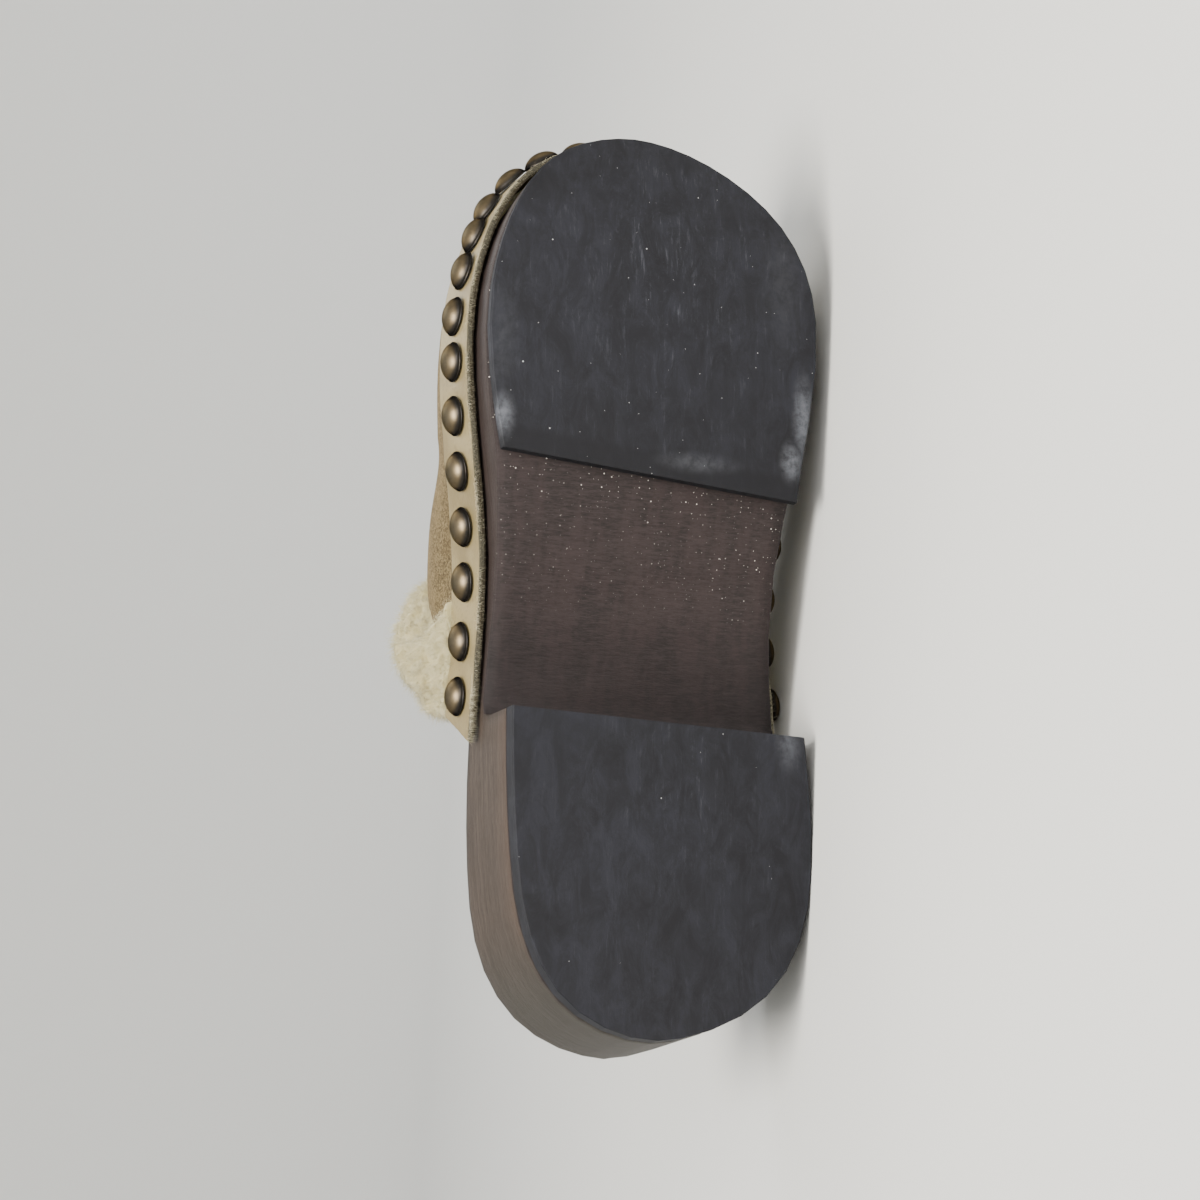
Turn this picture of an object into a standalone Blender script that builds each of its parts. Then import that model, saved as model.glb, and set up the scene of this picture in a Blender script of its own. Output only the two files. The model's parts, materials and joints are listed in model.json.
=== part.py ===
"""A left shearling clog: carved wooden base, rubber pads, shearling vamp, leather band and studs.

The shoe is drawn standing, in millimetres, with X from the back of the heel to the toe, Y to the
outer side of the foot and Z up from the ground. It is then laid on its outer side, on the points
that such a shoe really rests on, with its toe along +X and its sole facing -Y.
"""

import math

import bmesh
import bpy
import numpy as np
from mathutils import Matrix, Vector

MM = 0.001
FIT = 0.3  # gap between neighbouring pieces

# Base: the outline of the ground contact, one row for each cross-section.
HEEL_TIP = (0.0, 5.5)
TOE_TIP = (253.5, -8.0)
OUTLINE = [  # x, inner side y, outer side y
    (2.6, -8.0, 18.6),
    (11.0, -21.0, 34.0),
    (24.0, -29.3, 43.5),
    (48.0, -34.5, 48.0),
    (86.0, -36.6, 45.5),
    (130.0, -37.8, 41.9),
    (165.0, -43.4, 45.2),
    (200.0, -45.8, 49.2),
    (227.0, -39.6, 41.4),
    (245.0, -27.7, 23.2),
]
AXIS_Y = 5.0  # the heel's middle, about which its front edge and the pad's rear edge slant
BREAST_X = 84.5  # front face of the heel
BREAST_SLANT, BREAST_REACH = -0.055, 45.0  # it runs backwards towards the outer side
BALL_X = 200.0
INNER_LEAN = [  # x, how far the inner wall leans out, per unit of height
    (95.0, 0.05),
    (125.0, 0.065),
]
OUTER_LEAN = [  # the same for the outer wall
    (86.0, 0.033),
    (97.0, 0.023),
    (111.0, -0.025),
    (135.0, -0.045),
]
LEAN_HALF_WIDTH = 38.0  # narrower than this, the walls lean less
BACK_LEAN, TOE_LEAN = 0.115, 0.03  # the same at the two ends

# Heights of the base along its length.
RIM = [  # x, height of the footbed's edge
    (0.0, 57.0),
    (42.0, 57.0),
    (88.0, 49.5),
    (131.0, 37.5),
    (165.0, 29.5),
    (200.0, 27.5),
    (225.0, 29.5),
    (257.0, 34.5),
]
ARCH = [  # x, height of the underside between the pads
    (84.8, 27.0),
    (86.0, 31.0),
    (90.0, 32.3),
    (100.0, 29.4),
    (114.0, 23.4),
    (130.0, 16.2),
    (146.0, 8.6),
    (158.0, 4.9),
]
ARCH_TILT = [  # x, how much lower the underside is at its outer edge
    (84.5, 0.0),
    (84.8, 4.0),
    (111.0, 4.0),
    (135.0, 1.8),
    (158.0, 0.0),
]
LIFT_THICK = 6.0
PAD_THICK = 3.2
SPRING_X, SPRING_RISE = 205.0, 7.0  # the toe curves up from here, by this much
PAD_BACK_X = 152.6  # rear edge of the forefoot pad
PAD_SLANT, PAD_REACH = -0.106, 60.0
CHAMFER, EDGE = 0.5, 0.3
RIM_ROUND = 2.0
HOLLOW = [  # x, depth of the footbed below its rim
    (5.0, 0.0),
    (25.0, 3.0),
    (70.0, 3.0),
    (110.0, 1.8),
    (230.0, 1.8),
    (250.0, 0.0),
]
HOLLOW_POWER = 1.3  # how steeply the hollow falls from its edges

# Upper: a shearling vamp whose ridge runs from the throat to the toe.
UPPER_BACK = [  # height from the rim, x of its back edge
    (-12.5, 83.0),
    (8.5, 95.0),
]
RIDGE = [  # x, y, z of the ridge
    (112.0, -3.0, 119.0),
    (128.0, -4.5, 115.0),
    (150.0, -6.0, 101.0),
    (175.0, -7.5, 83.0),
    (200.0, -8.5, 68.5),
    (225.0, -8.5, 58.5),
    (243.0, -8.3, 51.0),
    (253.0, -8.0, 43.0),
]
BULGE = [  # x, how far the vamp's sides swell beyond the rim
    (86.0, 6.0),
    (115.0, 8.0),
    (140.0, 10.0),
    (165.0, 4.8),
    (192.0, 0.8),
    (225.0, 0.4),
    (258.0, 0.4),
]
BULGE_HEIGHT = 25.0  # lower than this, they swell less
SQUARE = [  # x, exponent of the rib's curve: smaller is squarer
    (86.0, 0.95),
    (170.0, 0.85),
    (258.0, 0.75),
]
RIBS = 30
HEM_ROWS = 3  # from the upper's lower edge to the rim
RIB_STEPS = 11  # from the band's upper edge to the ridge
SKIRT_DROP = 12.5  # the upper's edge reaches this far down the side of the base
SNUG = 0.45  # gap between that edge and the base
SKIRT_THIN, SKIRT_THICK = 0.7, 2.3  # wall at its lower edge and at the rim
FORWARD_POWER = 1.6  # how late a rib climbs before it runs forward to the ridge
WALL = 7.0  # suede with the wool inside it
TOE_WALL = 4.5

# Band nailed round the upper's edge.
BAND_LOW, BAND_HIGH = -13.5, 8.0  # from the rim
BAND_THICK = 1.3
BAND_FIT = 0.5  # gap between the band and its neighbours
BAND_BACK_LOW_X, BAND_BACK_HIGH_X = 81.0, 90.5  # its ends are cut aslant
BAND_STEPS = 72
STUDS = 29
STUD_PITCH = [  # x, distance between neighbouring studs
    (93.0, 15.4),
    (150.0, 15.3),
    (185.0, 14.2),
    (215.0, 12.6),
    (240.0, 11.9),
    (258.0, 11.9),
]
STUD_RISE = -6.1  # stud centres, from the rim
STUD_END_X = 92.0
STUD_RADIUS, STUD_HEIGHT = 5.75, 3.5
STUD_SIDES = 16

# Wool cuff turned over the collar.
CUFF_PUFF = (3.5, 7.0, 10.0, 11.5, 11.5, 9.0, 2.5)  # height of the wool on each rib, from the edge
CUFF_END = (0.35, 0.85)  # share of that height at the cuff's two ends
CUFF_LEAST = 2.0
CUFF_RISE = 0.2  # the wool stands at least this steeply upwards
CUFF_GIVE = 3.0  # how far the wool is squeezed where the shoe lies on it
CUFF_BACK = 4.0
CUFF_INSIDE = 2.0

# Insole.
INSOLE_THICK = 2.2
INSOLE_LIFT = 0.4  # allows for the footbed's facets
INSOLE_INSET = [  # x, distance from the footbed's rim
    (-6.0, 4.5),
    (70.0, 4.5),
    (100.0, 7.5),
    (258.0, 7.5),
]

DENSITY = {  # grams per cubic centimetre, by material
    "dark_stained_wood": 0.62,
    "black_rubber": 1.15,
    "suede": 0.35,
    "cream_leather": 0.9,
    "aged_brass": 7.0,
    "insole_leather": 0.7,
}


# ---- curves -------------------------------------------------------------------------------------


def spline(knots, values, at):
    """Natural cubic spline through a table, read at the given places."""
    knots, values = np.asarray(knots, float), np.asarray(values, float)
    gaps = np.diff(knots)
    slopes = np.diff(values, axis=0) / gaps.reshape(-1, *[1] * (values.ndim - 1))
    count = len(knots)
    matrix = np.eye(count)
    rhs = np.zeros(values.shape)
    for k in range(1, count - 1):
        matrix[k, k - 1 : k + 2] = gaps[k - 1], 2 * (gaps[k - 1] + gaps[k]), gaps[k]
        rhs[k] = 6 * (slopes[k] - slopes[k - 1])
    bend = np.linalg.solve(matrix, rhs.reshape(count, -1)).reshape(values.shape)
    at = np.clip(np.asarray(at, float), knots[0], knots[-1])
    k = np.clip(np.searchsorted(knots, at) - 1, 0, count - 2)
    shape = (-1, *[1] * (values.ndim - 1))
    h = gaps[k].reshape(shape)
    a = (knots[k + 1] - at).reshape(shape)
    b = (at - knots[k]).reshape(shape)
    read = (
        bend[k] * a**3 / (6 * h)
        + bend[k + 1] * b**3 / (6 * h)
        + (values[k] / h - bend[k] * h / 6) * a
        + (values[k + 1] / h - bend[k + 1] * h / 6) * b
    )
    return read.reshape(at.shape + values.shape[1:])


def table(rows, at):
    """A two-column table as a smooth function of its first column."""
    columns = np.array(rows)
    return spline(columns[:, 0], columns[:, 1], np.atleast_1d(at))


def lengths(points):
    """Distance travelled along a polyline, at each of its points."""
    steps = np.linalg.norm(np.diff(points, axis=0), axis=1)
    return np.concatenate([[0], np.cumsum(steps)])


def through(points, samples):
    """A smooth open curve through points, as that many samples."""
    points = np.asarray(points, float)
    knots = lengths(points)
    return spline(knots, points, np.linspace(0, knots[-1], samples))


def ground_outline(samples=3000):
    """The two sides of the ground outline, each from the heel's tip to the toe's."""
    inner = [(x, y) for x, y, _ in OUTLINE]
    outer = [(x, y) for x, _, y in OUTLINE]
    ring = [HEEL_TIP, *inner, TOE_TIP, *outer[::-1]]
    curve = through(ring * 3, samples * 3)  # three turns, so that the middle one closes smoothly
    curve = curve[samples : 2 * samples]
    back, front = np.argmin(curve[:, 0]), np.argmax(curve[:, 0])
    curve = np.roll(curve, -back, axis=0)
    front = (front - back) % samples
    return curve[: front + 1], np.vstack([curve[front:], curve[:1]])[::-1]


INNER, OUTER = ground_outline()


def rim(x):
    return table(RIM, x)


def wall(x, side, z):
    """Points of the base's wall: station x on the inner (-1) or outer (+1) side, at height z."""
    x, z = np.broadcast_arrays(np.asarray(x, float), np.asarray(z, float))
    inner = np.interp(x, INNER[:, 0], INNER[:, 1])
    outer = np.interp(x, OUTER[:, 0], OUTER[:, 1])
    middle, half = (inner + outer) / 2, (outer - inner) / 2
    lean = np.interp(x, *np.array(INNER_LEAN if side < 0 else OUTER_LEAN).T)
    lean *= np.clip(half / LEAN_HALF_WIDTH, 0, 1)
    y = middle + side * (half + lean * z)
    back = BACK_LEAN * np.clip((BREAST_X - x) / (BREAST_X - HEEL_TIP[0]), 0, 1)
    front = TOE_LEAN * np.clip((x - BALL_X) / (TOE_TIP[0] - BALL_X), 0, 1)
    return np.stack([x + (front - back) * z, y, z], axis=-1)


def stations(x_from, x_to, count):
    """Stations that crowd towards whichever tips of the outline they reach."""
    low, high = INNER[0, 0], INNER[-1, 0]
    turn = np.linspace(math.acos(1 - 2 * (x_from - low) / (high - low)),
                       math.acos(1 - 2 * min(1.0, (x_to - low) / (high - low))), count)
    return low + (high - low) * (1 - np.cos(turn)) / 2


# ---- meshes -------------------------------------------------------------------------------------


def clear_scene():
    for thing in list(bpy.data.objects):
        bpy.data.objects.remove(thing, do_unlink=True)


def material(name, colour, roughness, metallic=0.0):
    made = bpy.data.materials.get(name)
    if made is None:
        made = bpy.data.materials.new(name)
        made.use_nodes = True
        shader = made.node_tree.nodes["Principled BSDF"]
        shader.inputs["Base Color"].default_value = (*colour, 1.0)
        shader.inputs["Roughness"].default_value = roughness
        shader.inputs["Metallic"].default_value = metallic
    return made


def grid_faces(rows, columns, closed):
    """Quads of a grid whose columns may close into loops."""
    span = columns if closed else columns - 1
    return [
        (r * columns + c, r * columns + (c + 1) % columns,
         (r + 1) * columns + (c + 1) % columns, (r + 1) * columns + c)
        for r in range(rows - 1)
        for c in range(span)
    ]


def add_mesh(name, points, faces, finish, sharp_degrees=40):
    """One welded, outward-facing mesh object from points in millimetres."""
    mesh = bpy.data.meshes.new(name)
    mesh.from_pydata((np.asarray(points).reshape(-1, 3) * MM).tolist(), [], faces)
    shape = bmesh.new()
    shape.from_mesh(mesh)
    bmesh.ops.remove_doubles(shape, verts=shape.verts, dist=0.02 * MM)
    bmesh.ops.dissolve_degenerate(shape, dist=0.01 * MM, edges=shape.edges)
    bmesh.ops.recalc_face_normals(shape, faces=shape.faces)
    bmesh.ops.triangulate(shape, faces=[f for f in shape.faces if len(f.verts) > 4])
    shape.to_mesh(mesh)
    shape.free()
    mesh.shade_smooth()
    mesh.set_sharp_from_angle(angle=math.radians(sharp_degrees))
    mesh.materials.append(finish)
    made = bpy.data.objects.new(name, mesh)
    bpy.context.scene.collection.objects.link(made)
    return made


def loft(name, loops, finish, caps=(False, False)):
    """A solid through closed loops that have the same number of points."""
    loops = np.asarray(loops)
    rows, columns = loops.shape[:2]
    faces = grid_faces(rows, columns, closed=True)
    if caps[0]:
        faces.append(tuple(range(columns)))
    if caps[1]:
        faces.append(tuple(range((rows - 1) * columns, rows * columns)))
    return add_mesh(name, loops, faces, finish)


# ---- the base -----------------------------------------------------------------------------------


def slanted(loops, x, at, reach, slant):
    """Shifts the cross-sections near one station along X, the more so towards their sides."""
    nearness = np.clip(1 - abs(x - at) / reach, 0, 1)[:, None]
    loops[..., 0] += nearness * slant * (loops[..., 1] - AXIS_Y)
    return loops


def toe_rise(x):
    """How far the toe has curved up off the ground at x."""
    return SPRING_RISE * np.clip((x - SPRING_X) / (TOE_TIP[0] - SPRING_X), 0, None) ** 2


def bowl(share):
    """Depth of the footbed's hollow across its width, as a share of the greatest."""
    return np.sin(math.pi * np.clip(share, 0, 1)) ** HOLLOW_POWER


def slab_loops(x, low, high, top_round, dish=0.0, tilt=0.0, across=7):
    """Cross-sections of a slab that fills the base's outline between two heights."""
    loops = []
    for station, inner_low, top, round_off, hollow, drop in zip(
        x, low, high, *(np.broadcast_to(value, x.shape) for value in (top_round, dish, tilt))
    ):
        corners = {}
        for side in (-1, 1):
            bottom = inner_low - (drop if side > 0 else 0)
            middle = (wall(station, -1, bottom) + wall(station, 1, bottom)) / 2
            half = abs(wall(station, side, bottom)[1] - middle[1])
            tuck = side * min(CHAMFER, half)
            roll = side * min(round_off, half)
            corners[side] = [
                wall(station, side, bottom) - (0, tuck, 0),
                wall(station, side, bottom + CHAMFER),
                wall(station, side, top - round_off),
                wall(station, side, top) - (0, roll, 0),
            ]
        share = np.linspace(0, 1, across)[:, None]
        floor = corners[-1][3] * (1 - share) + corners[1][3] * share
        floor[:, 2] -= hollow * bowl(share[:, 0])
        loops.append([corners[-1][0], corners[1][0], corners[1][1], corners[1][2],
                      *floor[::-1], corners[-1][2], corners[-1][1]])
    return np.array(loops)


def underside(x):
    """Height of the wood's lower face at x."""
    heel = np.full(x.shape, LIFT_THICK + FIT)
    pad = PAD_THICK + FIT + toe_rise(x)
    return np.where(x <= BREAST_X, heel, np.where(x >= ARCH[-1][0], pad, table(ARCH, x)))


def hollow_depth(x):
    return np.interp(x, *np.array(HOLLOW).T)


def make_base():
    arch = [x for x, _ in ARCH]
    x = np.concatenate([
        stations(INNER[0, 0], 70, 12), [80.0, BREAST_X], arch, [168.0, 180.0, 192.0],
        stations(204, INNER[-1, 0], 12),
    ])
    tilt = np.interp(x, *np.array(ARCH_TILT).T)
    loops = slab_loops(x, underside(x), rim(x), RIM_ROUND, hollow_depth(x), tilt)
    loops = slanted(loops, x, BREAST_X, BREAST_REACH, BREAST_SLANT)
    return loft("wooden_base", loops, material("dark_stained_wood", (0.085, 0.055, 0.045), 0.45))


def make_heel_lift():
    x = np.concatenate([stations(INNER[0, 0], 70, 11), [80.0, BREAST_X]])
    loops = slab_loops(x, np.zeros(x.shape), np.full(x.shape, LIFT_THICK), EDGE, across=2)
    loops = slanted(loops, x, BREAST_X, BREAST_REACH, BREAST_SLANT)
    return loft("heel_lift", loops, material("black_rubber", (0.035, 0.036, 0.038), 0.6),
                caps=(False, True))


def make_forefoot_pad():
    x = np.concatenate([[PAD_BACK_X, 162.0, 175.0, 190.0], stations(203, INNER[-1, 0], 13)])
    rise = toe_rise(x)
    loops = slab_loops(x, rise, rise + PAD_THICK, EDGE, across=5)
    loops = slanted(loops, x, PAD_BACK_X, PAD_REACH, PAD_SLANT)
    return loft("forefoot_pad", loops, material("black_rubber", (0.035, 0.036, 0.038), 0.6),
                caps=(True, False))


def inset_edge(branch, side):
    """The footbed's rim on one side, moved inward by the insole's margin."""
    x = branch[:, 0]
    path = wall(x, side, rim(x))
    inset = np.interp(path[:, 0], *np.array(INSOLE_INSET).T)
    return path + plan_normals(path) * (side * inset)[:, None]


def make_insole():
    edges = {-1: inset_edge(INNER, -1), 1: inset_edge(OUTER, 1)}
    back, front = edges[1][0, 0] + EDGE, edges[1][-1, 0] - EDGE
    at_rim = wall(INNER[:, 0], -1, rim(INNER[:, 0]))[:, 0]
    turn = np.linspace(0, math.pi, 29)
    x = np.interp((back + front) / 2 - (front - back) / 2 * np.cos(turn), at_rim, INNER[:, 0])
    loops = []
    for station, height, hollow in zip(x, rim(x), hollow_depth(x)):
        inner, outer = wall(station, -1, height), wall(station, 1, height)
        low, high = inner[1] + RIM_ROUND, outer[1] - RIM_ROUND
        ends = [np.interp(inner[0], *edges[side][:, :2].T) for side in (-1, 1)]
        under = np.tile(inner, (9, 1))
        under[:, 1] = np.linspace(*ends, 9)
        share = (under[:, 1] - low) / (high - low)
        under[:, 2] += FIT + INSOLE_LIFT - hollow * bowl(share)
        loops.append([*under, *(under + (0, 0, INSOLE_THICK))[::-1]])
    return loft("insole", loops, material("insole_leather", (0.42, 0.27, 0.15), 0.6),
                caps=(True, True))


# ---- the upper ----------------------------------------------------------------------------------


def sides_by_length(x_back, count):
    """Stations of the two sides from x_back to the toe's tip, evenly spaced along each side."""
    found = []
    for branch in (INNER, OUTER):
        part = branch[branch[:, 0] >= x_back]
        run = lengths(part)
        found.append(np.interp(np.linspace(0, run[-1], count), run, part[:, 0]))
    return found


def plan_normals(path):
    """Level normals of a path that runs from the inner side round the toe to the outer side."""
    along = np.gradient(path, axis=0)
    outward = np.stack([along[:, 1], -along[:, 0], np.zeros(len(path))], axis=1)
    return outward / np.linalg.norm(outward, axis=1)[:, None]


def perimeter(x_back, count):
    """Stations and sides of a path round the toe, with count points on each side."""
    inner, outer = sides_by_length(x_back, count)
    x = np.concatenate([inner, outer[-2::-1]])
    side = np.concatenate([-np.ones(count), np.ones(count - 1)])
    return x, side


def offset_path(x, side, rise, out):
    """The path round the toe at a height above the rim, moved outward."""
    height = rim(x) + rise
    path = np.empty((len(x), 3))
    for s in (-1, 1):
        path[side == s] = wall(x[side == s], s, height[side == s])
    return path + plan_normals(path) * np.reshape(out, (-1, 1))


def skirt_out(rise):
    """How far the upper's outer face stands off the base's wall, at a height from the rim."""
    return SNUG + SKIRT_THICK + (SKIRT_THICK - SKIRT_THIN) * rise / SKIRT_DROP


def upper_face():
    """The upper's outer face: a grid of ribs, each from the inner hem over the ridge to the outer."""
    hems = []
    for rise in [*np.linspace(-SKIRT_DROP, 0, HEM_ROWS), BAND_HIGH + BAND_FIT]:
        x, side = perimeter(np.interp(rise, *np.array(UPPER_BACK).T), RIBS)
        hems.append(offset_path(x, side, rise, skirt_out(rise)))
    foot = hems[-1]
    outward = plan_normals(foot)
    tip = foot[RIBS - 1]
    ridge = through([*RIDGE, tuple(tip)], 400)
    run = lengths(ridge)
    top = np.stack([np.interp(np.linspace(0, run[-1], RIBS), run, ridge[:, k]) for k in range(3)], 1)
    height = top[:, 2] - foot[:RIBS, 2]
    share = np.linspace(0, 1, RIB_STEPS)
    turn = share * math.pi / 2
    ribs = []
    for i in range(RIBS):
        square = table(SQUARE, foot[i, 0])[0]
        bulge = table(BULGE, foot[i, 0])[0] * min(1.0, (height[i] / BULGE_HEIGHT) ** 2)
        level, climb = np.cos(turn) ** square, np.sin(turn) ** square
        blend = np.stack([climb**FORWARD_POWER, 1 - level, climb], axis=1)
        swell = bulge * np.sin(math.pi * share) * (1 - share**2)
        halves = []
        for j in (i, 2 * RIBS - 2 - i):
            points = foot[j] + (top[i] - foot[j]) * blend
            points += outward[j] * swell[:, None]
            halves.append([*(hem[j] for hem in hems[:-1]), *points])
        ribs.append([*halves[0], *halves[1][-2::-1]])
    return np.array(ribs)


def face_normals(face):
    """Outward normals of the grid of ribs."""
    normal = np.cross(np.gradient(face, axis=0), np.gradient(face, axis=1))
    size = np.linalg.norm(normal, axis=2, keepdims=True)
    normal = normal / np.maximum(size, 1e-9)
    normal[-1] = (1.0, 0.0, 0.0)
    return normal


def wall_thickness(columns):
    """Wall of the upper for each point of a rib: thin on the base's wall, full above the rim."""
    thick = np.full(columns, WALL)
    hem = np.linspace(SKIRT_THIN, SKIRT_THICK, HEM_ROWS)
    thick[:HEM_ROWS], thick[-HEM_ROWS:] = hem, hem[::-1]
    return thick


def make_upper(face, normal):
    columns = face.shape[1]
    along = np.linspace(0, 1, RIBS)
    most = np.interp(along, [0.7, 0.9, 1.0], [WALL, TOE_WALL, SKIRT_THICK])[:, None]
    thick = np.minimum(wall_thickness(columns), most)
    lining = face - normal * thick[..., None]
    loops = np.concatenate([face, lining[:, ::-1]], axis=1)
    rows, count = loops.shape[:2]
    faces = grid_faces(rows, count, closed=True)
    faces += [(c, c + 1, count - 2 - c, count - 1 - c) for c in range(columns - 1)]
    return add_mesh("upper", loops, faces, material("suede", (0.36, 0.26, 0.14), 0.95))


def band_rows(rise, x_back):
    """The band's inner and outer edges at one height: the path and its level normals."""
    x, side = perimeter(x_back, BAND_STEPS // 2)
    under = offset_path(x, side, rise, skirt_out(rise) + BAND_FIT)
    return under, under + plan_normals(under) * BAND_THICK


def make_band():
    rises = np.array([BAND_LOW, 0.0, BAND_HIGH])
    backs = np.interp(rises, [BAND_LOW, BAND_HIGH], [BAND_BACK_LOW_X, BAND_BACK_HIGH_X])
    rows = [band_rows(rise, back) for rise, back in zip(rises, backs)]
    loops = np.stack([rows[0][0], rows[0][1], rows[1][1], rows[2][1], rows[2][0], rows[1][0]], 1)
    return loft("band", loops, material("cream_leather", (0.55, 0.48, 0.35), 0.55),
                caps=(True, True))


def stud_places():
    """Seat and outward direction of each stud, evenly spaced round the band."""
    x, side = perimeter(STUD_END_X, 200)
    rises = STUD_RISE + STUD_RADIUS * np.linspace(-1, 1, 5)
    paths = np.array([
        offset_path(x, side, rise, skirt_out(rise) + BAND_FIT + BAND_THICK) for rise in rises
    ])
    middle = paths[2]
    pitch = table(STUD_PITCH, middle[:, 0])
    count = np.concatenate([[0], np.cumsum(np.diff(lengths(middle)) / (pitch[1:] + pitch[:-1]) * 2)])
    places = []
    for at in np.linspace(0, count[-1], STUDS):
        centre, ahead, upward = (
            np.array([np.interp(at, count, p[:, k]) for k in range(3)])
            for p in (middle, np.gradient(middle, axis=0), paths[-1] - paths[0])
        )
        out = np.cross(ahead, upward)
        out /= np.linalg.norm(out)
        around = paths.reshape(-1, 3) - centre
        around = around[np.linalg.norm(around, axis=1) < 1.1 * STUD_RADIUS]
        places.append((centre + out * max(around @ out), out))
    return places


def make_studs():
    """Domed nail heads: a turned cap with a small brim."""
    radius = (STUD_RADIUS**2 + STUD_HEIGHT**2) / (2 * STUD_HEIGHT)
    reach = math.asin(0.93 * STUD_RADIUS / radius)
    profile = [(0.0, 0.0), (STUD_RADIUS, 0.0), (STUD_RADIUS, 0.5)]
    for turn in np.linspace(reach, 0, 4):
        profile.append((radius * math.sin(turn), STUD_HEIGHT - radius * (1 - math.cos(turn))))
    turns = np.linspace(0, 2 * math.pi, STUD_SIDES, endpoint=False)
    rings = np.array([
        [(r * math.cos(a), r * math.sin(a), h + FIT) for a in turns] for r, h in profile
    ])
    finish = material("aged_brass", (0.33, 0.28, 0.22), 0.35, 0.9)
    studs = []
    for number, (centre, out) in enumerate(stud_places(), start=1):
        turn = Vector((0, 0, 1)).rotation_difference(Vector(out)).to_matrix()
        points = rings.reshape(-1, 3) @ np.array(turn).T + centre
        faces = grid_faces(len(profile), STUD_SIDES, closed=True)
        studs.append(add_mesh(f"stud_{number:02d}", points, faces, finish, sharp_degrees=50))
    return studs


def cuff_loops(face, normal, give=0.0):
    """Cross-sections of the wool turned over the collar, squeezed by so much."""
    back = face[0] - face[1]
    back /= np.linalg.norm(back, axis=1)[:, None]
    round_edge = [  # outward, backward
        (FIT, FIT),
        (-WALL - FIT, FIT),
        (-WALL - CUFF_INSIDE, 1.5),
        (-WALL + 1.0, CUFF_BACK - 0.5),
        (-1.0, CUFF_BACK),
        (CUFF_PUFF[0] - 1.0, CUFF_BACK - 1.0),
    ]
    rising = normal.copy()
    rising[..., 2] = np.maximum(rising[..., 2], CUFF_RISE)
    columns = range(HEM_ROWS, face.shape[1] - HEM_ROWS)
    fullness = np.ones(len(columns))
    fullness[:2], fullness[-2:] = CUFF_END, CUFF_END[::-1]
    loops = []
    for c, full in zip(columns, fullness):
        under = [face[i, c] + normal[i, c] * FIT for i in reversed(range(len(CUFF_PUFF)))]
        edge = [face[0, c] + normal[0, c] * out + back[c] * rear for out, rear in round_edge]
        over = [
            face[i, c] + rising[i, c] * max(puff * full - give, CUFF_LEAST)
            for i, puff in enumerate(CUFF_PUFF)
        ]
        loops.append([*under, *edge, *over])
    return np.array(loops)


def make_cuff(loops, laid):
    """The wool cuff, pressed flat where the laid shoe touches the ground."""
    points = loops.reshape(-1, 3) * MM
    down = np.array(laid)
    world = points @ down[:3, :3].T + down[:3, 3]
    world[:, 2] = np.maximum(world[:, 2], 0.0)
    back_again = np.array(laid.inverted())
    points = (world @ back_again[:3, :3].T + back_again[:3, 3]) / MM
    return loft("wool_cuff", points.reshape(loops.shape), material("wool", (0.72, 0.66, 0.53), 1.0),
                caps=(True, True))


# ---- laying the shoe down -----------------------------------------------------------------------


def volume_and_centre(thing):
    """Volume and centroid of a closed mesh."""
    thing.data.calc_loop_triangles()
    points = np.array([v.co for v in thing.data.vertices])
    corners = points[np.array([t.vertices for t in thing.data.loop_triangles])]
    parts = np.einsum("ij,ij->i", corners[:, 0], np.cross(corners[:, 1], corners[:, 2])) / 6
    return parts.sum(), (corners.sum(1) / 4 * parts[:, None]).sum(0) / parts.sum()


def centre_of_mass(things):
    total, moment = 0.0, np.zeros(3)
    for thing in things:
        volume, centre = volume_and_centre(thing)
        mass = volume * DENSITY[thing.active_material.name]
        total += mass
        moment += mass * centre
    return moment / total


def inside(point, corners, normal):
    """Whether a point of a face's plane lies within its corners."""
    return all(
        normal.dot((b - a).cross(point - a)) >= 0
        for a, b in zip(corners, corners[1:] + corners[:1])
    )


def resting_direction(points, weight):
    """Outward normal of the face of the hull on which the shoe comes to rest on its outer side."""
    hull = bmesh.new()
    for point in points:
        hull.verts.new(point)
    bmesh.ops.convex_hull(hull, input=hull.verts)
    hull.normal_update()
    found = Vector((0, 0, 0))
    for face in hull.faces:
        drop = weight + face.normal * face.normal.dot(face.verts[0].co - weight)
        if face.normal.y > found.y and inside(drop, [v.co for v in face.verts], face.normal):
            found = face.normal.copy()
    hull.free()
    return found


def laying_matrix(things, wool, squeezed_wool):
    """Carries the standing shoe to where it lies on its outer side, centred over the origin."""
    solid = [v.co for thing in things for v in thing.data.vertices]
    carrying = solid + [Vector(p) * MM for p in squeezed_wool.reshape(-1, 3)]
    up = -resting_direction(carrying, Vector(centre_of_mass(things)))
    ahead = Vector((1, 0, 0))
    ahead = (ahead - up * ahead.dot(up)).normalized()
    turn = Matrix((ahead, up.cross(ahead), up))
    ground = min((turn @ p).z for p in carrying)
    placed = np.array([turn @ p for p in solid + [Vector(p) * MM for p in wool.reshape(-1, 3)]])
    middle = (placed.min(0) + placed.max(0)) / 2
    return Matrix.Translation((-middle[0], -middle[1], -ground)) @ turn.to_4x4()


def main():
    clear_scene()
    face = upper_face()
    normal = face_normals(face)
    things = [make_base(), make_heel_lift(), make_forefoot_pad(), make_insole(),
              make_upper(face, normal), make_band(), *make_studs()]
    wool = cuff_loops(face, normal)
    laid = laying_matrix(things, wool, cuff_loops(face, normal, CUFF_GIVE))
    things.append(make_cuff(wool, laid))
    holder = bpy.data.objects.new("laid_shoe", None)
    bpy.context.scene.collection.objects.link(holder)
    holder.matrix_world = laid
    for thing in things:
        thing.parent = holder


main()
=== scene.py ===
import json
import math

import bmesh
import bpy
import numpy as np
from mathutils import Matrix, Vector


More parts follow.
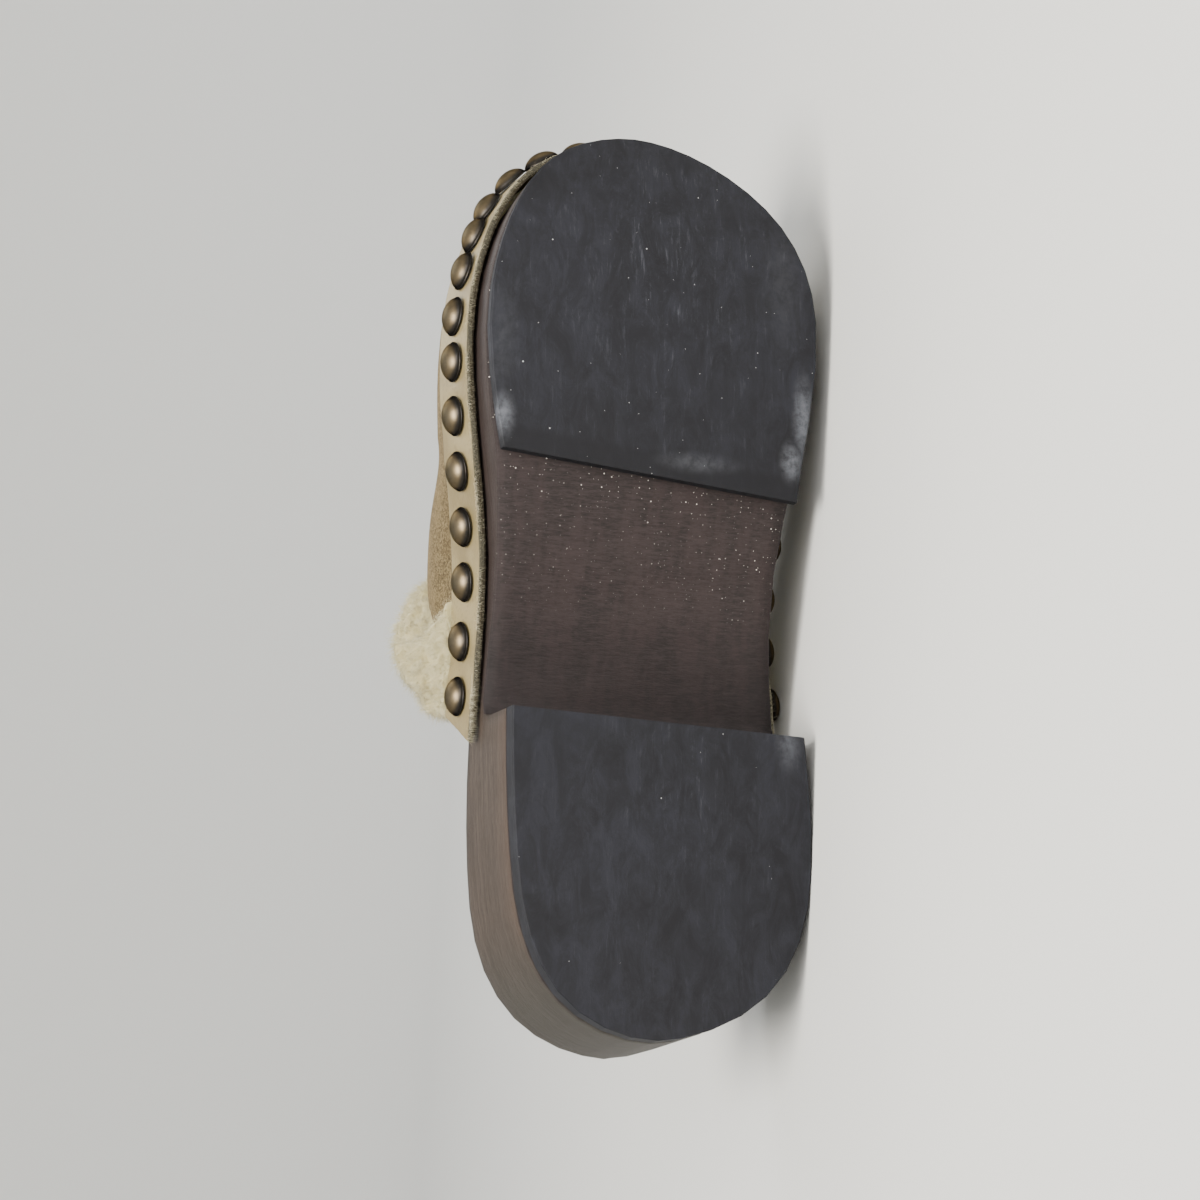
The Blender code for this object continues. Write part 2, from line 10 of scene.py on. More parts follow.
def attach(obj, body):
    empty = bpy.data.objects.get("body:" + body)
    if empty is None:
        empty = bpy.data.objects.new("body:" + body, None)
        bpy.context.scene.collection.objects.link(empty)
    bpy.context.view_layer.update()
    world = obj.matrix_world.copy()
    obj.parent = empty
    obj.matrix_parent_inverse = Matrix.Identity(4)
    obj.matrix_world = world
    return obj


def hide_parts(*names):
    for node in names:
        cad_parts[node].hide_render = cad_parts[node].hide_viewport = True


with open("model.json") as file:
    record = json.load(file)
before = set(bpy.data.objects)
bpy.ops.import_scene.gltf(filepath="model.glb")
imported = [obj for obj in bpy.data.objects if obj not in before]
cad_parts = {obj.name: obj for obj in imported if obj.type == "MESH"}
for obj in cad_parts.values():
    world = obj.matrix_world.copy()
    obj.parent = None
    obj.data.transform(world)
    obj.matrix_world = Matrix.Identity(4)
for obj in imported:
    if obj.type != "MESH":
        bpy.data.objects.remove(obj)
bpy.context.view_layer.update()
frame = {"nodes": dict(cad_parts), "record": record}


def unit(vectors):
    # length one, along the last axis
    return vectors / np.maximum(np.linalg.norm(vectors, axis=-1, keepdims=True), 1e-9)


# Sizes are millimetres on the standing shoe: x from the back of the heel to the toe,
# y to the outer side of the foot, z up off the ground. The two ground faces give its place.
faces = {m["name"]: m for m in frame["record"]["mounts"]}
heelFace, foreFace = (np.array(faces[n]["pos_m"]) for n in ("heel_ground_face", "forefoot_ground_face"))
heelFaceAt = (42.0, 5.5, 0.0)
upward = unit(-np.array(faces["heel_ground_face"]["axis"]))
ahead = foreFace - heelFace
ahead = unit(ahead - upward * (ahead @ upward))
shoeAxes = np.stack([ahead, np.cross(upward, ahead), upward])
shoeOrigin = heelFace - np.array(heelFaceAt) @ shoeAxes * 0.001


def laid(points):
    # millimetres on the standing shoe, carried to where it lies, in metres
    return np.asarray(points) @ shoeAxes * 0.001 + shoeOrigin


def standing(points):
    # the same, back again
    return (np.asarray(points) - shoeOrigin) @ shoeAxes.T * 1000.0


last = {
    "heelTip": (0.0, 5.5),
    "toeTip": (253.5, -8.0),
    # x, inner side, outer side
    "outline": [
        (2.6, -8.0, 18.6), (11.0, -21.0, 34.0), (24.0, -29.3, 43.5), (48.0, -34.5, 48.0),
        (86.0, -36.6, 45.5), (130.0, -37.8, 41.9), (165.0, -43.4, 45.2), (200.0, -45.8, 49.2),
        (227.0, -39.6, 41.4), (245.0, -27.7, 23.2),
    ],
    # x, height of the footbed's edge
    "rim": [
        (0.0, 57.0), (42.0, 57.0), (88.0, 49.5), (131.0, 37.5), (165.0, 29.5), (200.0, 27.5),
        (225.0, 29.5), (257.0, 34.5),
    ],
    # x, how far the inner and the outer wall lean out, per unit of height
    "innerLean": [(95.0, 0.05), (125.0, 0.065)],
    "outerLean": [(86.0, 0.033), (97.0, 0.023), (111.0, -0.025), (135.0, -0.045)],
    "leanHalfWidth": 38.0,
    "breastX": 84.5,
    "ballX": 200.0,
    "backLean": 0.115,
    "toeLean": 0.03,
}


def spline(knots, values, at):
    # natural cubic: the bends at the knots solve one banded system, and each span is a cubic
    knots, values = np.asarray(knots, float), np.asarray(values, float)
    flat = values.reshape(len(knots), -1)
    gaps = np.diff(knots)
    slopes = np.diff(flat, axis=0) / gaps[:, None]
    system = np.eye(len(knots))
    inner = np.arange(1, len(knots) - 1)
    system[inner, inner - 1] = gaps[:-1]
    system[inner, inner] = 2 * (gaps[:-1] + gaps[1:])
    system[inner, inner + 1] = gaps[1:]
    right = np.zeros(flat.shape)
    right[1:-1] = 6 * np.diff(slopes, axis=0)
    bend = np.linalg.solve(system, right)
    at = np.clip(np.asarray(at, float), knots[0], knots[-1])
    span = np.clip(np.searchsorted(knots, at.ravel()) - 1, 0, len(gaps) - 1)
    gap = gaps[span][:, None]
    before = at.reshape(-1, 1) - knots[span][:, None]
    after = knots[span + 1][:, None] - at.reshape(-1, 1)
    read = (
        (bend[span] * after**3 + bend[span + 1] * before**3) / (6 * gap)
        + (flat[span] / gap - bend[span] * gap / 6) * after
        + (flat[span + 1] / gap - bend[span + 1] * gap / 6) * before
    )
    return read.reshape(at.shape + values.shape[1:])


def table(rows, at):
    # a table of two columns, read by a smooth curve
    columns = np.array(rows)
    return spline(columns[:, 0], columns[:, 1], at)


def lines(rows, at):
    # the same, read by straight lines
    return np.interp(at, *np.transpose(rows))


def share(value, start, end):
    # 0 up to the start, 1 from the end on, and even between them
    return np.clip((value - start) / (end - start), 0, 1)


def travelled(points):
    # distance along a polyline at each of its points
    return np.concatenate([[0.0], np.cumsum(np.linalg.norm(np.diff(points, axis=0), axis=1))])


def smoothRun(points, samples):
    points = np.asarray(points, float)
    knots = travelled(points)
    return spline(knots, points, np.linspace(0, knots[-1], samples))


def groundOutline(samples=3000):
    # one closed curve through the tips and both sides, split at its two ends
    rows = np.array(last["outline"])
    ring = [last["heelTip"], *rows[:, [0, 1]], last["toeTip"], *rows[::-1, [0, 2]]]
    curve = smoothRun(ring * 3, samples * 3)[samples : 2 * samples]
    back = np.argmin(curve[:, 0])
    front = (np.argmax(curve[:, 0]) - back) % samples
    curve = np.roll(curve, -back, axis=0)
    return curve[: front + 1], np.vstack([curve[front:], curve[:1]])[::-1]


innerEdge, outerEdge = groundOutline()


def rimHeight(x):
    return table(last["rim"], x)


def wallPoint(x, side, z):
    # middle of the outline plus or minus its half width, which leans out as it rises
    x, side, z = np.broadcast_arrays(np.asarray(x, float), side, z)
    inner, outer = lines(innerEdge, x), lines(outerEdge, x)
    half = (outer - inner) / 2
    lean = np.where(side < 0, lines(last["innerLean"], x), lines(last["outerLean"], x))
    lean = lean * np.clip(half / last["leanHalfWidth"], 0, 1)
    heel = last["backLean"] * share(x, last["breastX"], last["heelTip"][0])
    toe = last["toeLean"] * share(x, last["ballX"], last["toeTip"][0])
    return np.stack([x + (toe - heel) * z, (inner + outer) / 2 + side * (half + lean * z), z], axis=-1)


def roundToe(xBack, count):
    # stations and sides from xBack on the inner side, round the toe, to xBack on the outer side
    found = []
    for branch in (innerEdge, outerEdge):
        part = branch[branch[:, 0] >= xBack]
        run = travelled(part)
        found.append(np.interp(np.linspace(0, run[-1], count), run, part[:, 0]))
    x = np.concatenate([found[0], found[1][-2::-1]])
    return x, np.repeat([-1.0, 1.0], [count, count - 1])


def levelNormals(path):
    along = np.gradient(path, axis=0)
    return unit(np.stack([along[:, 1], -along[:, 0], np.zeros(len(path))], axis=1))


def besideWall(x, side, rise, out):
    # a path round the toe at a height over the rim, moved out level from the wall
    path = wallPoint(x, side, rimHeight(x) + rise)
    return path + levelNormals(path) * np.reshape(out, (-1, 1))


def gridNormals(grid):
    return unit(np.cross(np.gradient(grid, axis=0), np.gradient(grid, axis=1)))


def beside(along, helper):
    # two directions square to this one and to each other
    first = unit(np.cross(along, helper))
    return first, np.cross(along, first)


def quadsOf(rows, columns, closed=False):
    r, c = np.meshgrid(np.arange(rows - 1), np.arange(columns if closed else columns - 1), indexing="ij")
    r, c, d = r.ravel(), c.ravel(), (c.ravel() + 1) % columns
    return np.stack([r * columns + c, r * columns + d, (r + 1) * columns + d, (r + 1) * columns + c], 1)


def putMesh(name, points, polygons, uv=None):
    # points in metres; uv holds one row for each point
    mesh = bpy.data.meshes.new(name)
    mesh.vertices.add(len(points))
    mesh.vertices.foreach_set("co", np.asarray(points, np.float32).ravel())
    mesh.loops.add(polygons.size)
    mesh.loops.foreach_set("vertex_index", polygons.astype(np.int32).ravel())
    mesh.polygons.add(len(polygons))
    starts = np.arange(len(polygons), dtype=np.int32) * polygons.shape[1]
    mesh.polygons.foreach_set("loop_start", starts)
    if uv is not None:
        layer = mesh.uv_layers.new(name="surface")
        layer.data.foreach_set("uv", np.asarray(uv, np.float32)[polygons.ravel()].ravel())
    mesh.update(calc_edges=True)
    mesh.shade_smooth()
    made = bpy.data.objects.new(name, mesh)
    bpy.context.scene.collection.objects.link(made)
    return made


def putGrid(name, grid, uv, closed=False):
    # a grid of points on the standing shoe, joined by quads; closed joins its last column to its first
    uv = np.broadcast_to(uv, (*grid.shape[:2], 2)).reshape(-1, 2)
    return putMesh(name, laid(grid).reshape(-1, 3), quadsOf(*grid.shape[:2], closed), uv)


def copied(polygons, copies, points):
    # one piece's polygons, once for each copy of its points
    shifts = np.arange(copies)[:, None, None] * points
    return (polygons[None] + shifts).reshape(-1, polygons.shape[1])


def tidyMesh(thing, sharpDegrees=None, outward=True):
    # welds seams and poles and turns the faces outward
    shape = bmesh.new()
    shape.from_mesh(thing.data)
    bmesh.ops.remove_doubles(shape, verts=shape.verts, dist=0.00001)
    bmesh.ops.dissolve_degenerate(shape, dist=0.000005, edges=shape.edges)
    if outward:
        bmesh.ops.recalc_face_normals(shape, faces=shape.faces)
    shape.to_mesh(thing.data)
    shape.free()
    thing.data.shade_smooth()
    if sharpDegrees is not None:
        thing.data.set_sharp_from_angle(angle=math.radians(sharpDegrees))
    return thing


def settle(thing, material, slot, *nodes):
    thing.data.materials.clear()
    thing.data.materials.append(material)
    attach(thing, "root")
    if nodes:
        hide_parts(*nodes)


class Wire:
    # a socket in an expression; each operator adds a Math node
    def __init__(self, shader, socket):
        self.shader, self.socket = shader, socket

    def math(self, operation, *values, clamp=False):
        settings = {"operation": operation, "use_clamp": clamp}
        return self.shader.node("Math", settings, dict(enumerate(values)))

    def __add__(self, other):
        return self.math("ADD", self, other)

    def __sub__(self, other):
        return self.math("SUBTRACT", self, other)

    def __rsub__(self, other):
        return self.math("SUBTRACT", other, self)

    def __mul__(self, other):
        return self.math("MULTIPLY", self, other)

    def __truediv__(self, other):
        return self.math("DIVIDE", self, other)

    def __pow__(self, other):
        return self.math("POWER", self, other)

    def __gt__(self, other):
        return self.math("GREATER_THAN", self, other)

    __radd__, __rmul__ = __add__, __mul__

    def absolute(self):
        return self.math("ABSOLUTE", self)

    def most(self, other):
        return self.math("MAXIMUM", self, other)

    def clipped(self):
        return self.math("ADD", self, 0.0, clamp=True)

    def between(self, low, high):
        # 0 below low, 1 above high, an S-curve between them
        return self.shader.node(
            "MapRange", {"interpolation_type": "SMOOTHSTEP"},
            {"Value": self, "From Min": low, "From Max": high, "To Min": 0.0, "To Max": 1.0},
        )


class Shader:
    # one material: its nodes, its coordinates in millimetres on the standing shoe, and its surface
    def __init__(self, name):
        self.material = bpy.data.materials.new(name)
        self.material.use_nodes = True
        self.tree = self.material.node_tree
        self.surface = self.tree.nodes["Principled BSDF"]

    def node(self, kind, settings=None, inputs=None, output=0):
        made = self.tree.nodes.new("ShaderNode" + kind)
        for name, value in (settings or {}).items():
            if name == "stops":
                self.setStops(made.color_ramp, value)
            else:
                setattr(made, name, value)
        for name, value in (inputs or {}).items():
            self.feed(made.inputs[name], value)
        return Wire(self, made.outputs[output])

    def setStops(self, ramp, stops):
        while len(ramp.elements) < len(stops):
            ramp.elements.new(0.5)
        for element, (place, colour) in zip(ramp.elements, stops):
            element.position, element.color = place, (*colour, 1.0)

    def feed(self, socket, value):
        if isinstance(value, Wire):
            self.tree.links.new(value.socket, socket)
        elif isinstance(value, tuple) and len(value) == 3 and socket.type == "RGBA":
            socket.default_value = (*value, 1.0)
        else:
            socket.default_value = value

    def shoe(self):
        # object coordinates turned into the standing shoe's millimetres
        turn = Matrix(shoeAxes.tolist()).to_euler()
        shift = tuple(-(shoeAxes @ shoeOrigin) * 1000.0)
        place = self.node("TexCoord", output="Object")
        return self.stretched(place, (1000.0, 1000.0, 1000.0), shift, tuple(turn))

    def surfacePlace(self):
        # the mesh's own two coordinates
        return self.apart(self.node("UVMap", {"uv_map": "surface"}))[:2]

    def facing(self):
        # the surface's normal along the standing shoe's axes
        turn = Matrix(shoeAxes.tolist()).to_euler()
        normal = self.node("NewGeometry", output="Normal")
        return self.apart(self.stretched(normal, (1.0, 1.0, 1.0), turn=tuple(turn)))

    def apart(self, vector):
        split = self.node("SeparateXYZ", {}, {"Vector": vector})
        outputs = split.socket.node.outputs
        return [Wire(self, outputs[k]) for k in range(3)]

    def stretched(self, vector, scale, shift=(0.0, 0.0, 0.0), turn=(0.0, 0.0, 0.0)):
        inputs = {"Vector": vector, "Scale": scale, "Location": shift, "Rotation": turn}
        return self.node("Mapping", {}, inputs)

    def shifted(self, vector, shift):
        return self.stretched(vector, (1.0, 1.0, 1.0), shift)

    def noise(self, vector, scale, detail=3.0, roughness=0.5, distortion=0.0):
        inputs = {"Scale": scale, "Detail": detail, "Roughness": roughness, "Distortion": distortion}
        return self.node("TexNoise", {}, {"Vector": vector, **inputs})

    def cells(self, vector, scale, output="Distance", **settings):
        return self.node("TexVoronoi", settings, {"Vector": vector, "Scale": scale}, output=output)

    def mix(self, factor, first, second):
        return self.node("Mix", {"data_type": "RGBA"}, {0: factor, 6: first, 7: second}, output=2)

    def ramp(self, value, stops):
        return self.node("ValToRGB", {"stops": stops}, {"Fac": value})

    def bump(self, height, distance, strength=1.0, below=None):
        inputs = {"Height": height, "Distance": distance, "Strength": strength}
        if below is not None:
            inputs["Normal"] = below
        return self.node("Bump", {}, inputs)

    def near(self, place, centre, radii):
        # 1 at a place on the standing shoe, falling to 0 over the given radii
        shift = tuple(-c / r for c, r in zip(centre, radii))
        away = self.stretched(place, tuple(1.0 / r for r in radii), shift)
        length = self.node("VectorMath", {"operation": "LENGTH"}, {0: away}, output="Value")
        return 1.0 - length.between(0.0, 1.0)

    def finish(self, **values):
        names = {
            "colour": "Base Color", "roughness": "Roughness", "metallic": "Metallic", "normal": "Normal",
            "specular": "Specular IOR Level", "edgeTint": "Specular Tint", "sheen": "Sheen Weight",
            "sheenTint": "Sheen Tint", "sheenRoughness": "Sheen Roughness", "glow": "Emission Strength",
            "glowColour": "Emission Color", "subsurface": "Subsurface Weight",
            "depth": "Subsurface Radius",
        }
        for name, value in values.items():
            self.feed(self.surface.inputs[names[name]], value)
        return self.material


vamp = {
    # height from the rim, x of the back edge
    "back": [(-12.5, 83.0), (8.5, 95.0)],
    # x, y, z of the ridge
    "ridge": [
        (112.0, -3.0, 119.0), (128.0, -4.5, 115.0), (150.0, -6.0, 101.0), (175.0, -7.5, 83.0),
        (200.0, -8.5, 68.5), (225.0, -8.5, 58.5), (243.0, -8.3, 51.0), (253.0, -8.0, 43.0),
    ],
    # x, how far the sides swell
    "bulge": [
        (86.0, 5.0), (115.0, 6.6), (138.0, 8.6), (152.0, 6.6), (165.0, 2.3), (180.0, 0.6), (200.0, 0.3),
        (258.0, 0.4),
    ],
    "bulgeHeight": 25.0,
    # x, exponent of a rib's curve: smaller is squarer
    "square": [(86.0, 0.95), (170.0, 0.85), (258.0, 0.75)],
    "ribs": 150,
    "stepsUp": 64,
    "hemRows": 6,
    "hemDrop": 13.4,
    # the hide stands off the wood by so much at the rim, and less by the slope for each step down
    "skirtOut": 2.75,
    "skirtSlope": 0.128,
    # how late a rib climbs before it runs forward to the ridge
    "forward": 1.6,
    "thick": 0.9,
    # length and half girth of the surface's own coordinates
    "chart": (190.0, 90.0),
    # rounding of the cut edges, and how sharp an edge has to be to get it
    "cutRound": 0.4,
    "cutDegrees": 60,
    # where the hide is drawn over the toe it puckers between the nails: between which stations that
    # grows, its pitch and depth, and its place and width across
    "pucker": {"from": 190.0, "to": 240.0, "pitch": 11.0, "deep": 0.22, "at": 0.8, "wide": 0.12},
    # millimetres from the ridge to a hem, by which the creases are placed
    "halfGirth": 60.0,
    # station and place across at both ends (-1 inner hem, 0 ridge, 1 outer hem), depth, half width
    "creases": [
        (196.0, -0.62, 203.0, -0.1, -0.9, 5.0),
        (205.0, 0.05, 197.0, 0.6, -0.8, 5.0),
        (186.0, -0.5, 189.0, 0.3, -0.5, 6.5),
        (214.0, -0.35, 215.0, 0.35, -0.45, 5.0),
        (208.0, -0.7, 209.0, -0.2, 0.45, 5.0),
        (170.0, -0.75, 150.0, -0.45, -0.7, 7.0),
        (171.0, 0.7, 152.0, 0.42, -0.6, 7.0),
        (128.0, -0.8, 136.0, -0.5, 0.6, 8.0),
        (232.0, -0.55, 241.0, -0.25, 0.4, 5.0),
    ],
}


def skirtOut(rise):
    return vamp["skirtOut"] + vamp["skirtSlope"] * rise


def bandEnd(rise):
    # the band is cut aslant at its two ends
    return np.interp(rise, [band["low"], band["high"]], band["backX"])


def vampFace(ribs, stepsUp, hemRows):
    # each rib climbs from the band to the ridge: across by 1 - cos, up by sin, forward by a power of sin
    below = np.linspace(-vamp["hemDrop"], 0, hemRows)
    rises = [*below, *np.linspace(0, band["high"] + band["clear"], 3)[1:]]
    hems = []
    for rise in rises:
        x, side = roundToe(lines(vamp["back"], rise), ribs)
        hems.append(besideWall(x, side, rise, skirtOut(rise)))
    foot = hems[-1]
    outward = levelNormals(foot)
    ridge = smoothRun([*vamp["ridge"], foot[ribs - 1]], 400)
    run = travelled(ridge)
    top = np.stack([np.interp(np.linspace(0, run[-1], ribs), run, ridge[:, k]) for k in range(3)], 1)
    height = (top[:, 2] - foot[:ribs, 2])[:, None]
    square = table(vamp["square"], foot[:ribs, 0])[:, None]
    bulge = table(vamp["bulge"], foot[:ribs, 0])[:, None]
    bulge *= np.minimum(1.0, (height / vamp["bulgeHeight"]) ** 2)
    up = np.linspace(0, 1, stepsUp)[None]
    level, climb = np.cos(up * np.pi / 2) ** square, np.sin(up * np.pi / 2) ** square
    swell = bulge * np.sin(np.pi * up) * (1 - up**2)
    way = np.stack([climb ** vamp["forward"], 1 - level, climb], axis=-1)
    halves = []
    for row in (np.arange(ribs), 2 * ribs - 2 - np.arange(ribs)):
        low = foot[row][:, None]
        upper = low + (top[:, None] - low) * way + outward[row][:, None] * swell[..., None]
        hem = np.swapaxes(np.stack(hems[:-1])[:, row], 0, 1)
        halves.append(np.concatenate([hem, upper], axis=1))
    return np.concatenate([halves[0], halves[1][:, -2::-1]], axis=1)


def creased(face):
    # troughs and ridges: a bell across each crease, fading along it to its ends
    columns = face.shape[1]
    across = np.broadcast_to(np.linspace(-1, 1, columns), face.shape[:2])
    place = np.stack([face[..., 0], across * vamp["halfGirth"]], axis=-1)
    lift = np.zeros(face.shape[:2])
    for x0, a0, x1, a1, depth, width in vamp["creases"]:
        start, end = np.array([(x0, a0 * vamp["halfGirth"]), (x1, a1 * vamp["halfGirth"])])
        run = end - start
        along = np.clip(((place - start) @ run) / (run @ run), -0.2, 1.2)
        off = np.linalg.norm(place - start - along[..., None] * run, axis=-1)
        fade = np.clip(1 - (2 * along - 1) ** 4 / 1.9, 0, 1)
        lift += depth * np.exp(-((off / width) ** 2)) * fade
    pucker = vamp["pucker"]
    run = travelled(face[:, vamp["hemRows"] + 3])[:, None]
    rise = np.abs(np.linspace(-1, 1, columns))[None]
    toe = share(face[..., 0], pucker["from"], pucker["to"])
    wave = np.sin(run * 2 * np.pi / pucker["pitch"] + 2.0 * np.sin(run * 0.13))
    lift += pucker["deep"] * toe * wave * np.exp(-(((rise - pucker["at"]) / pucker["wide"]) ** 2))
    return lift


def makeVamp(face, normal):
    points = face + normal * creased(face)[..., None]
    rows, columns = points.shape[:2]
    length, halfGirth = vamp["chart"]
    run, girth = np.linspace(0, length, rows), np.linspace(-halfGirth, halfGirth, columns)
    made = putGrid("suede_vamp", points, np.stack(np.meshgrid(run, girth, indexing="ij"), axis=-1))
    tidyMesh(made, outward=False)
    thick = made.modifiers.new("hide", "SOLIDIFY")
    thick.thickness = vamp["thick"] * 0.001
    thick.offset = -1.0
    rounded = made.modifiers.new("cut_edge", "BEVEL")
    rounded.width, rounded.segments = vamp["cutRound"] * 0.001, 2
    rounded.limit_method, rounded.angle_limit = "ANGLE", math.radians(vamp["cutDegrees"])
    return made


band = {
    "low": -13.5,
    "high": 8.0,
    "thick": 1.3,
    "clear": 0.5,
    "backX": (81.0, 90.5),
    "steps": 420,
    "cornerRound": 0.55,
    # depth and reach of the dents at the nails, and how far the face and the lower edge stray
    "dent": 0.45,
    "dentReach": 7.0,
    "puff": 0.12,
    "waver": 0.25,
    # one column of the strip that lies on its outer face
    "faceColumn": 12,
    # fibres on these columns of the strip: how many, how far they lie inward, and their tones
    "fringe": ([4, 5, 6, 7], 8200, 0.8, (0.7, 1.0)),
    "flesh": ([0, 1, 2, 4], 2000, 1.1, (0.3, 0.75)),
    "fibreClear": 0.1,
    "fibreLength": (0.45, 1.15),
    "fibreThick": 0.075,
    # how much a fibre falls, strays and bends
    "fall": 0.6,
    "stray": 0.4,
    "bend": 0.2,
    # how far from its two ends the edge is more frayed, and by how much
    "endReach": 22.0,
    "endMore": 1.5,
}


def bandProfile():
    # a rounded strip as (out, rise, distance round the strip), starting inside at the lower edge
    low, high, thick, r = band["low"], band["high"], band["thick"], band["cornerRound"]
    bend = np.linspace(0, np.pi / 2, 5)
    out = np.concatenate([
        [0.0, thick / 2], thick - r + r * np.sin(bend), np.full(18, thick), thick - r + r * np.cos(bend),
        [thick / 2, 0.0], np.zeros(6),
    ])
    rise = np.concatenate([
        [low, low], low + r - r * np.cos(bend), np.linspace(low + r, high - r, 20)[1:-1],
        high - r + r * np.sin(bend), [high, high], np.linspace(high, low, 8)[1:-1],
    ])
    return out, rise


def bandGrid():
    # the strip carried round the toe; both ends are cut aslant
    out, rise = bandProfile()
    back = bandEnd(rise)
    columns = []
    for o, r, b in zip(out, rise, back):
        x, side = roundToe(b, band["steps"] // 2)
        columns.append(besideWall(x, side, r, skirtOut(r) + band["clear"] + o))
    return np.stack(columns, axis=1), out, rise


def makeBand(nails):
    grid, out, rise = bandGrid()
    outerFace = grid[:, band["faceColumn"]]
    run = travelled(outerFace)
    # the nails pull the leather in around them, and its lower edge wavers
    seats = np.array([seat for seat, _ in nails])
    away = np.linalg.norm(grid[:, :, None] - seats[None, None], axis=-1).min(axis=-1)
    outer = np.clip(out / band["thick"], 0, 1)[None]
    dent = band["dent"] * (1 - np.exp(-((away / band["dentReach"]) ** 4))) - band["dent"]
    puff = band["puff"] * np.sin(run * 0.31)[:, None] * np.sin(run * 0.047 + 1)[:, None]
    grid = grid + levelNormals(outerFace)[:, None] * (outer * (dent + puff))[..., None]
    lower = share(rise, band["high"], band["low"])[None]
    waver = band["waver"] * (np.sin(run * 0.21) + 0.6 * np.sin(run * 0.53 + 2.0))[:, None]
    grid[..., 2] += waver * lower**3
    around = travelled(np.stack([out, rise], axis=1))
    uv = np.stack(np.broadcast_arrays(run[:, None], around[None]), axis=-1)
    ends = grid[[0, -1]].mean(axis=1, keepdims=True).repeat(grid.shape[1], axis=1)
    grid = np.concatenate([ends[:1], grid, ends[1:]])
    uv = np.concatenate([uv[:1], uv, uv[-1:]])
    return tidyMesh(putGrid("leather_band", grid, uv, closed=True), 50)


strand = {
    "sides": 3,
    # how much of its girth a strand loses towards its tip
    "taper": 0.75,
    # how much the lay differs between clumps and between strands, and how far a strand follows it
    "spread": (0.55, 0.2),
    "lean": 0.6,
    # turns of the twist: the least, and how many more by chance; then how much strands differ in phase
    "turns": (0.8, 0.5),
    "phase": 0.5,
    # how its tone is shared between its clump and itself
    "tone": (0.7, 0.3),
    # tone and place along a strand that the mounds under the strands take: near the root, in its painted
    # shade
    "under": (0.5, 0.15),
    # any direction that no strand follows
    "askew": (0.31, 0.52, 0.79),
}


def strands(name, courses, thick, shade):
    # courses holds each strand's points, (strands, points, 3); a thin tube that closes at its tip
    (count, steps), sides = courses.shape[:2], strand["sides"]
    along = unit(np.gradient(courses, axis=1))
    helper = np.where(np.abs(along[..., :1]) < 0.9, [[[1.0, 0, 0]]], [[[0, 1.0, 0]]])
    first, second = beside(along, helper)
    turn = np.arange(sides) * 2 * np.pi / sides
    way = np.linspace(0, 1, steps)
    girth = np.asarray(thick).reshape(-1, 1) / 2 * (1 - strand["taper"] * way**2)[None]
    ring = first[:, :, None] * np.cos(turn)[:, None] + second[:, :, None] * np.sin(turn)[:, None]
    points = courses[:, :, None] + ring * girth[:, :, None, None]
    points = np.concatenate([points.reshape(count, -1, 3), courses[:, -1:]], axis=1)
    quads = quadsOf(steps, sides, True)
    final = (steps - 1) * sides + np.arange(sides)
    tip = np.stack([final, np.roll(final, -1), np.full(sides, steps * sides)], axis=1)
    one = np.concatenate([quads[:, [0, 1, 2]], quads[:, [0, 2, 3]], tip])
    each = steps * sides + 1
    place = np.concatenate([np.repeat(way, sides), [1.0]])
    uv = np.stack(np.broadcast_arrays(np.asarray(shade)[:, None], place[None]), axis=-1)
    return putMesh(name, laid(points.reshape(-1, 3)), copied(one, count, each), uv.reshape(-1, 2))


def scattered(grid, count, chance, weight=None):
    # places on a grid of points, as many to each unit of area times weight
    a, b, c, d = grid[:-1, :-1], grid[:-1, 1:], grid[1:, 1:], grid[1:, :-1]
    area = np.linalg.norm(np.cross(c - a, d - b), axis=2) / 2
    if weight is not None:
        area = area * weight
    cell = chance.choice(area.size, size=count, p=(area / area.sum()).ravel())
    r, q = np.divmod(cell, area.shape[1])
    u, v = chance.random(count)[:, None], chance.random(count)[:, None]
    spot = (a[r, q] * (1 - u) + d[r, q] * u) * (1 - v) + (b[r, q] * (1 - u) + c[r, q] * u) * v
    return spot, r + u[:, 0], q + v[:, 0]


def nearest(spots, centres):
    # index of the clump centre nearest to each spot, and the distance to it, worked out in blocks
    index, away = np.empty(len(spots), int), np.empty(len(spots))
    for start in range(0, len(spots), 1500):
        block = slice(start, start + 1500)
        square = ((spots[block, None] - centres[None]) ** 2).sum(-1)
        index[block], away[block] = square.argmin(1), np.sqrt(square.min(1))
    return index, away


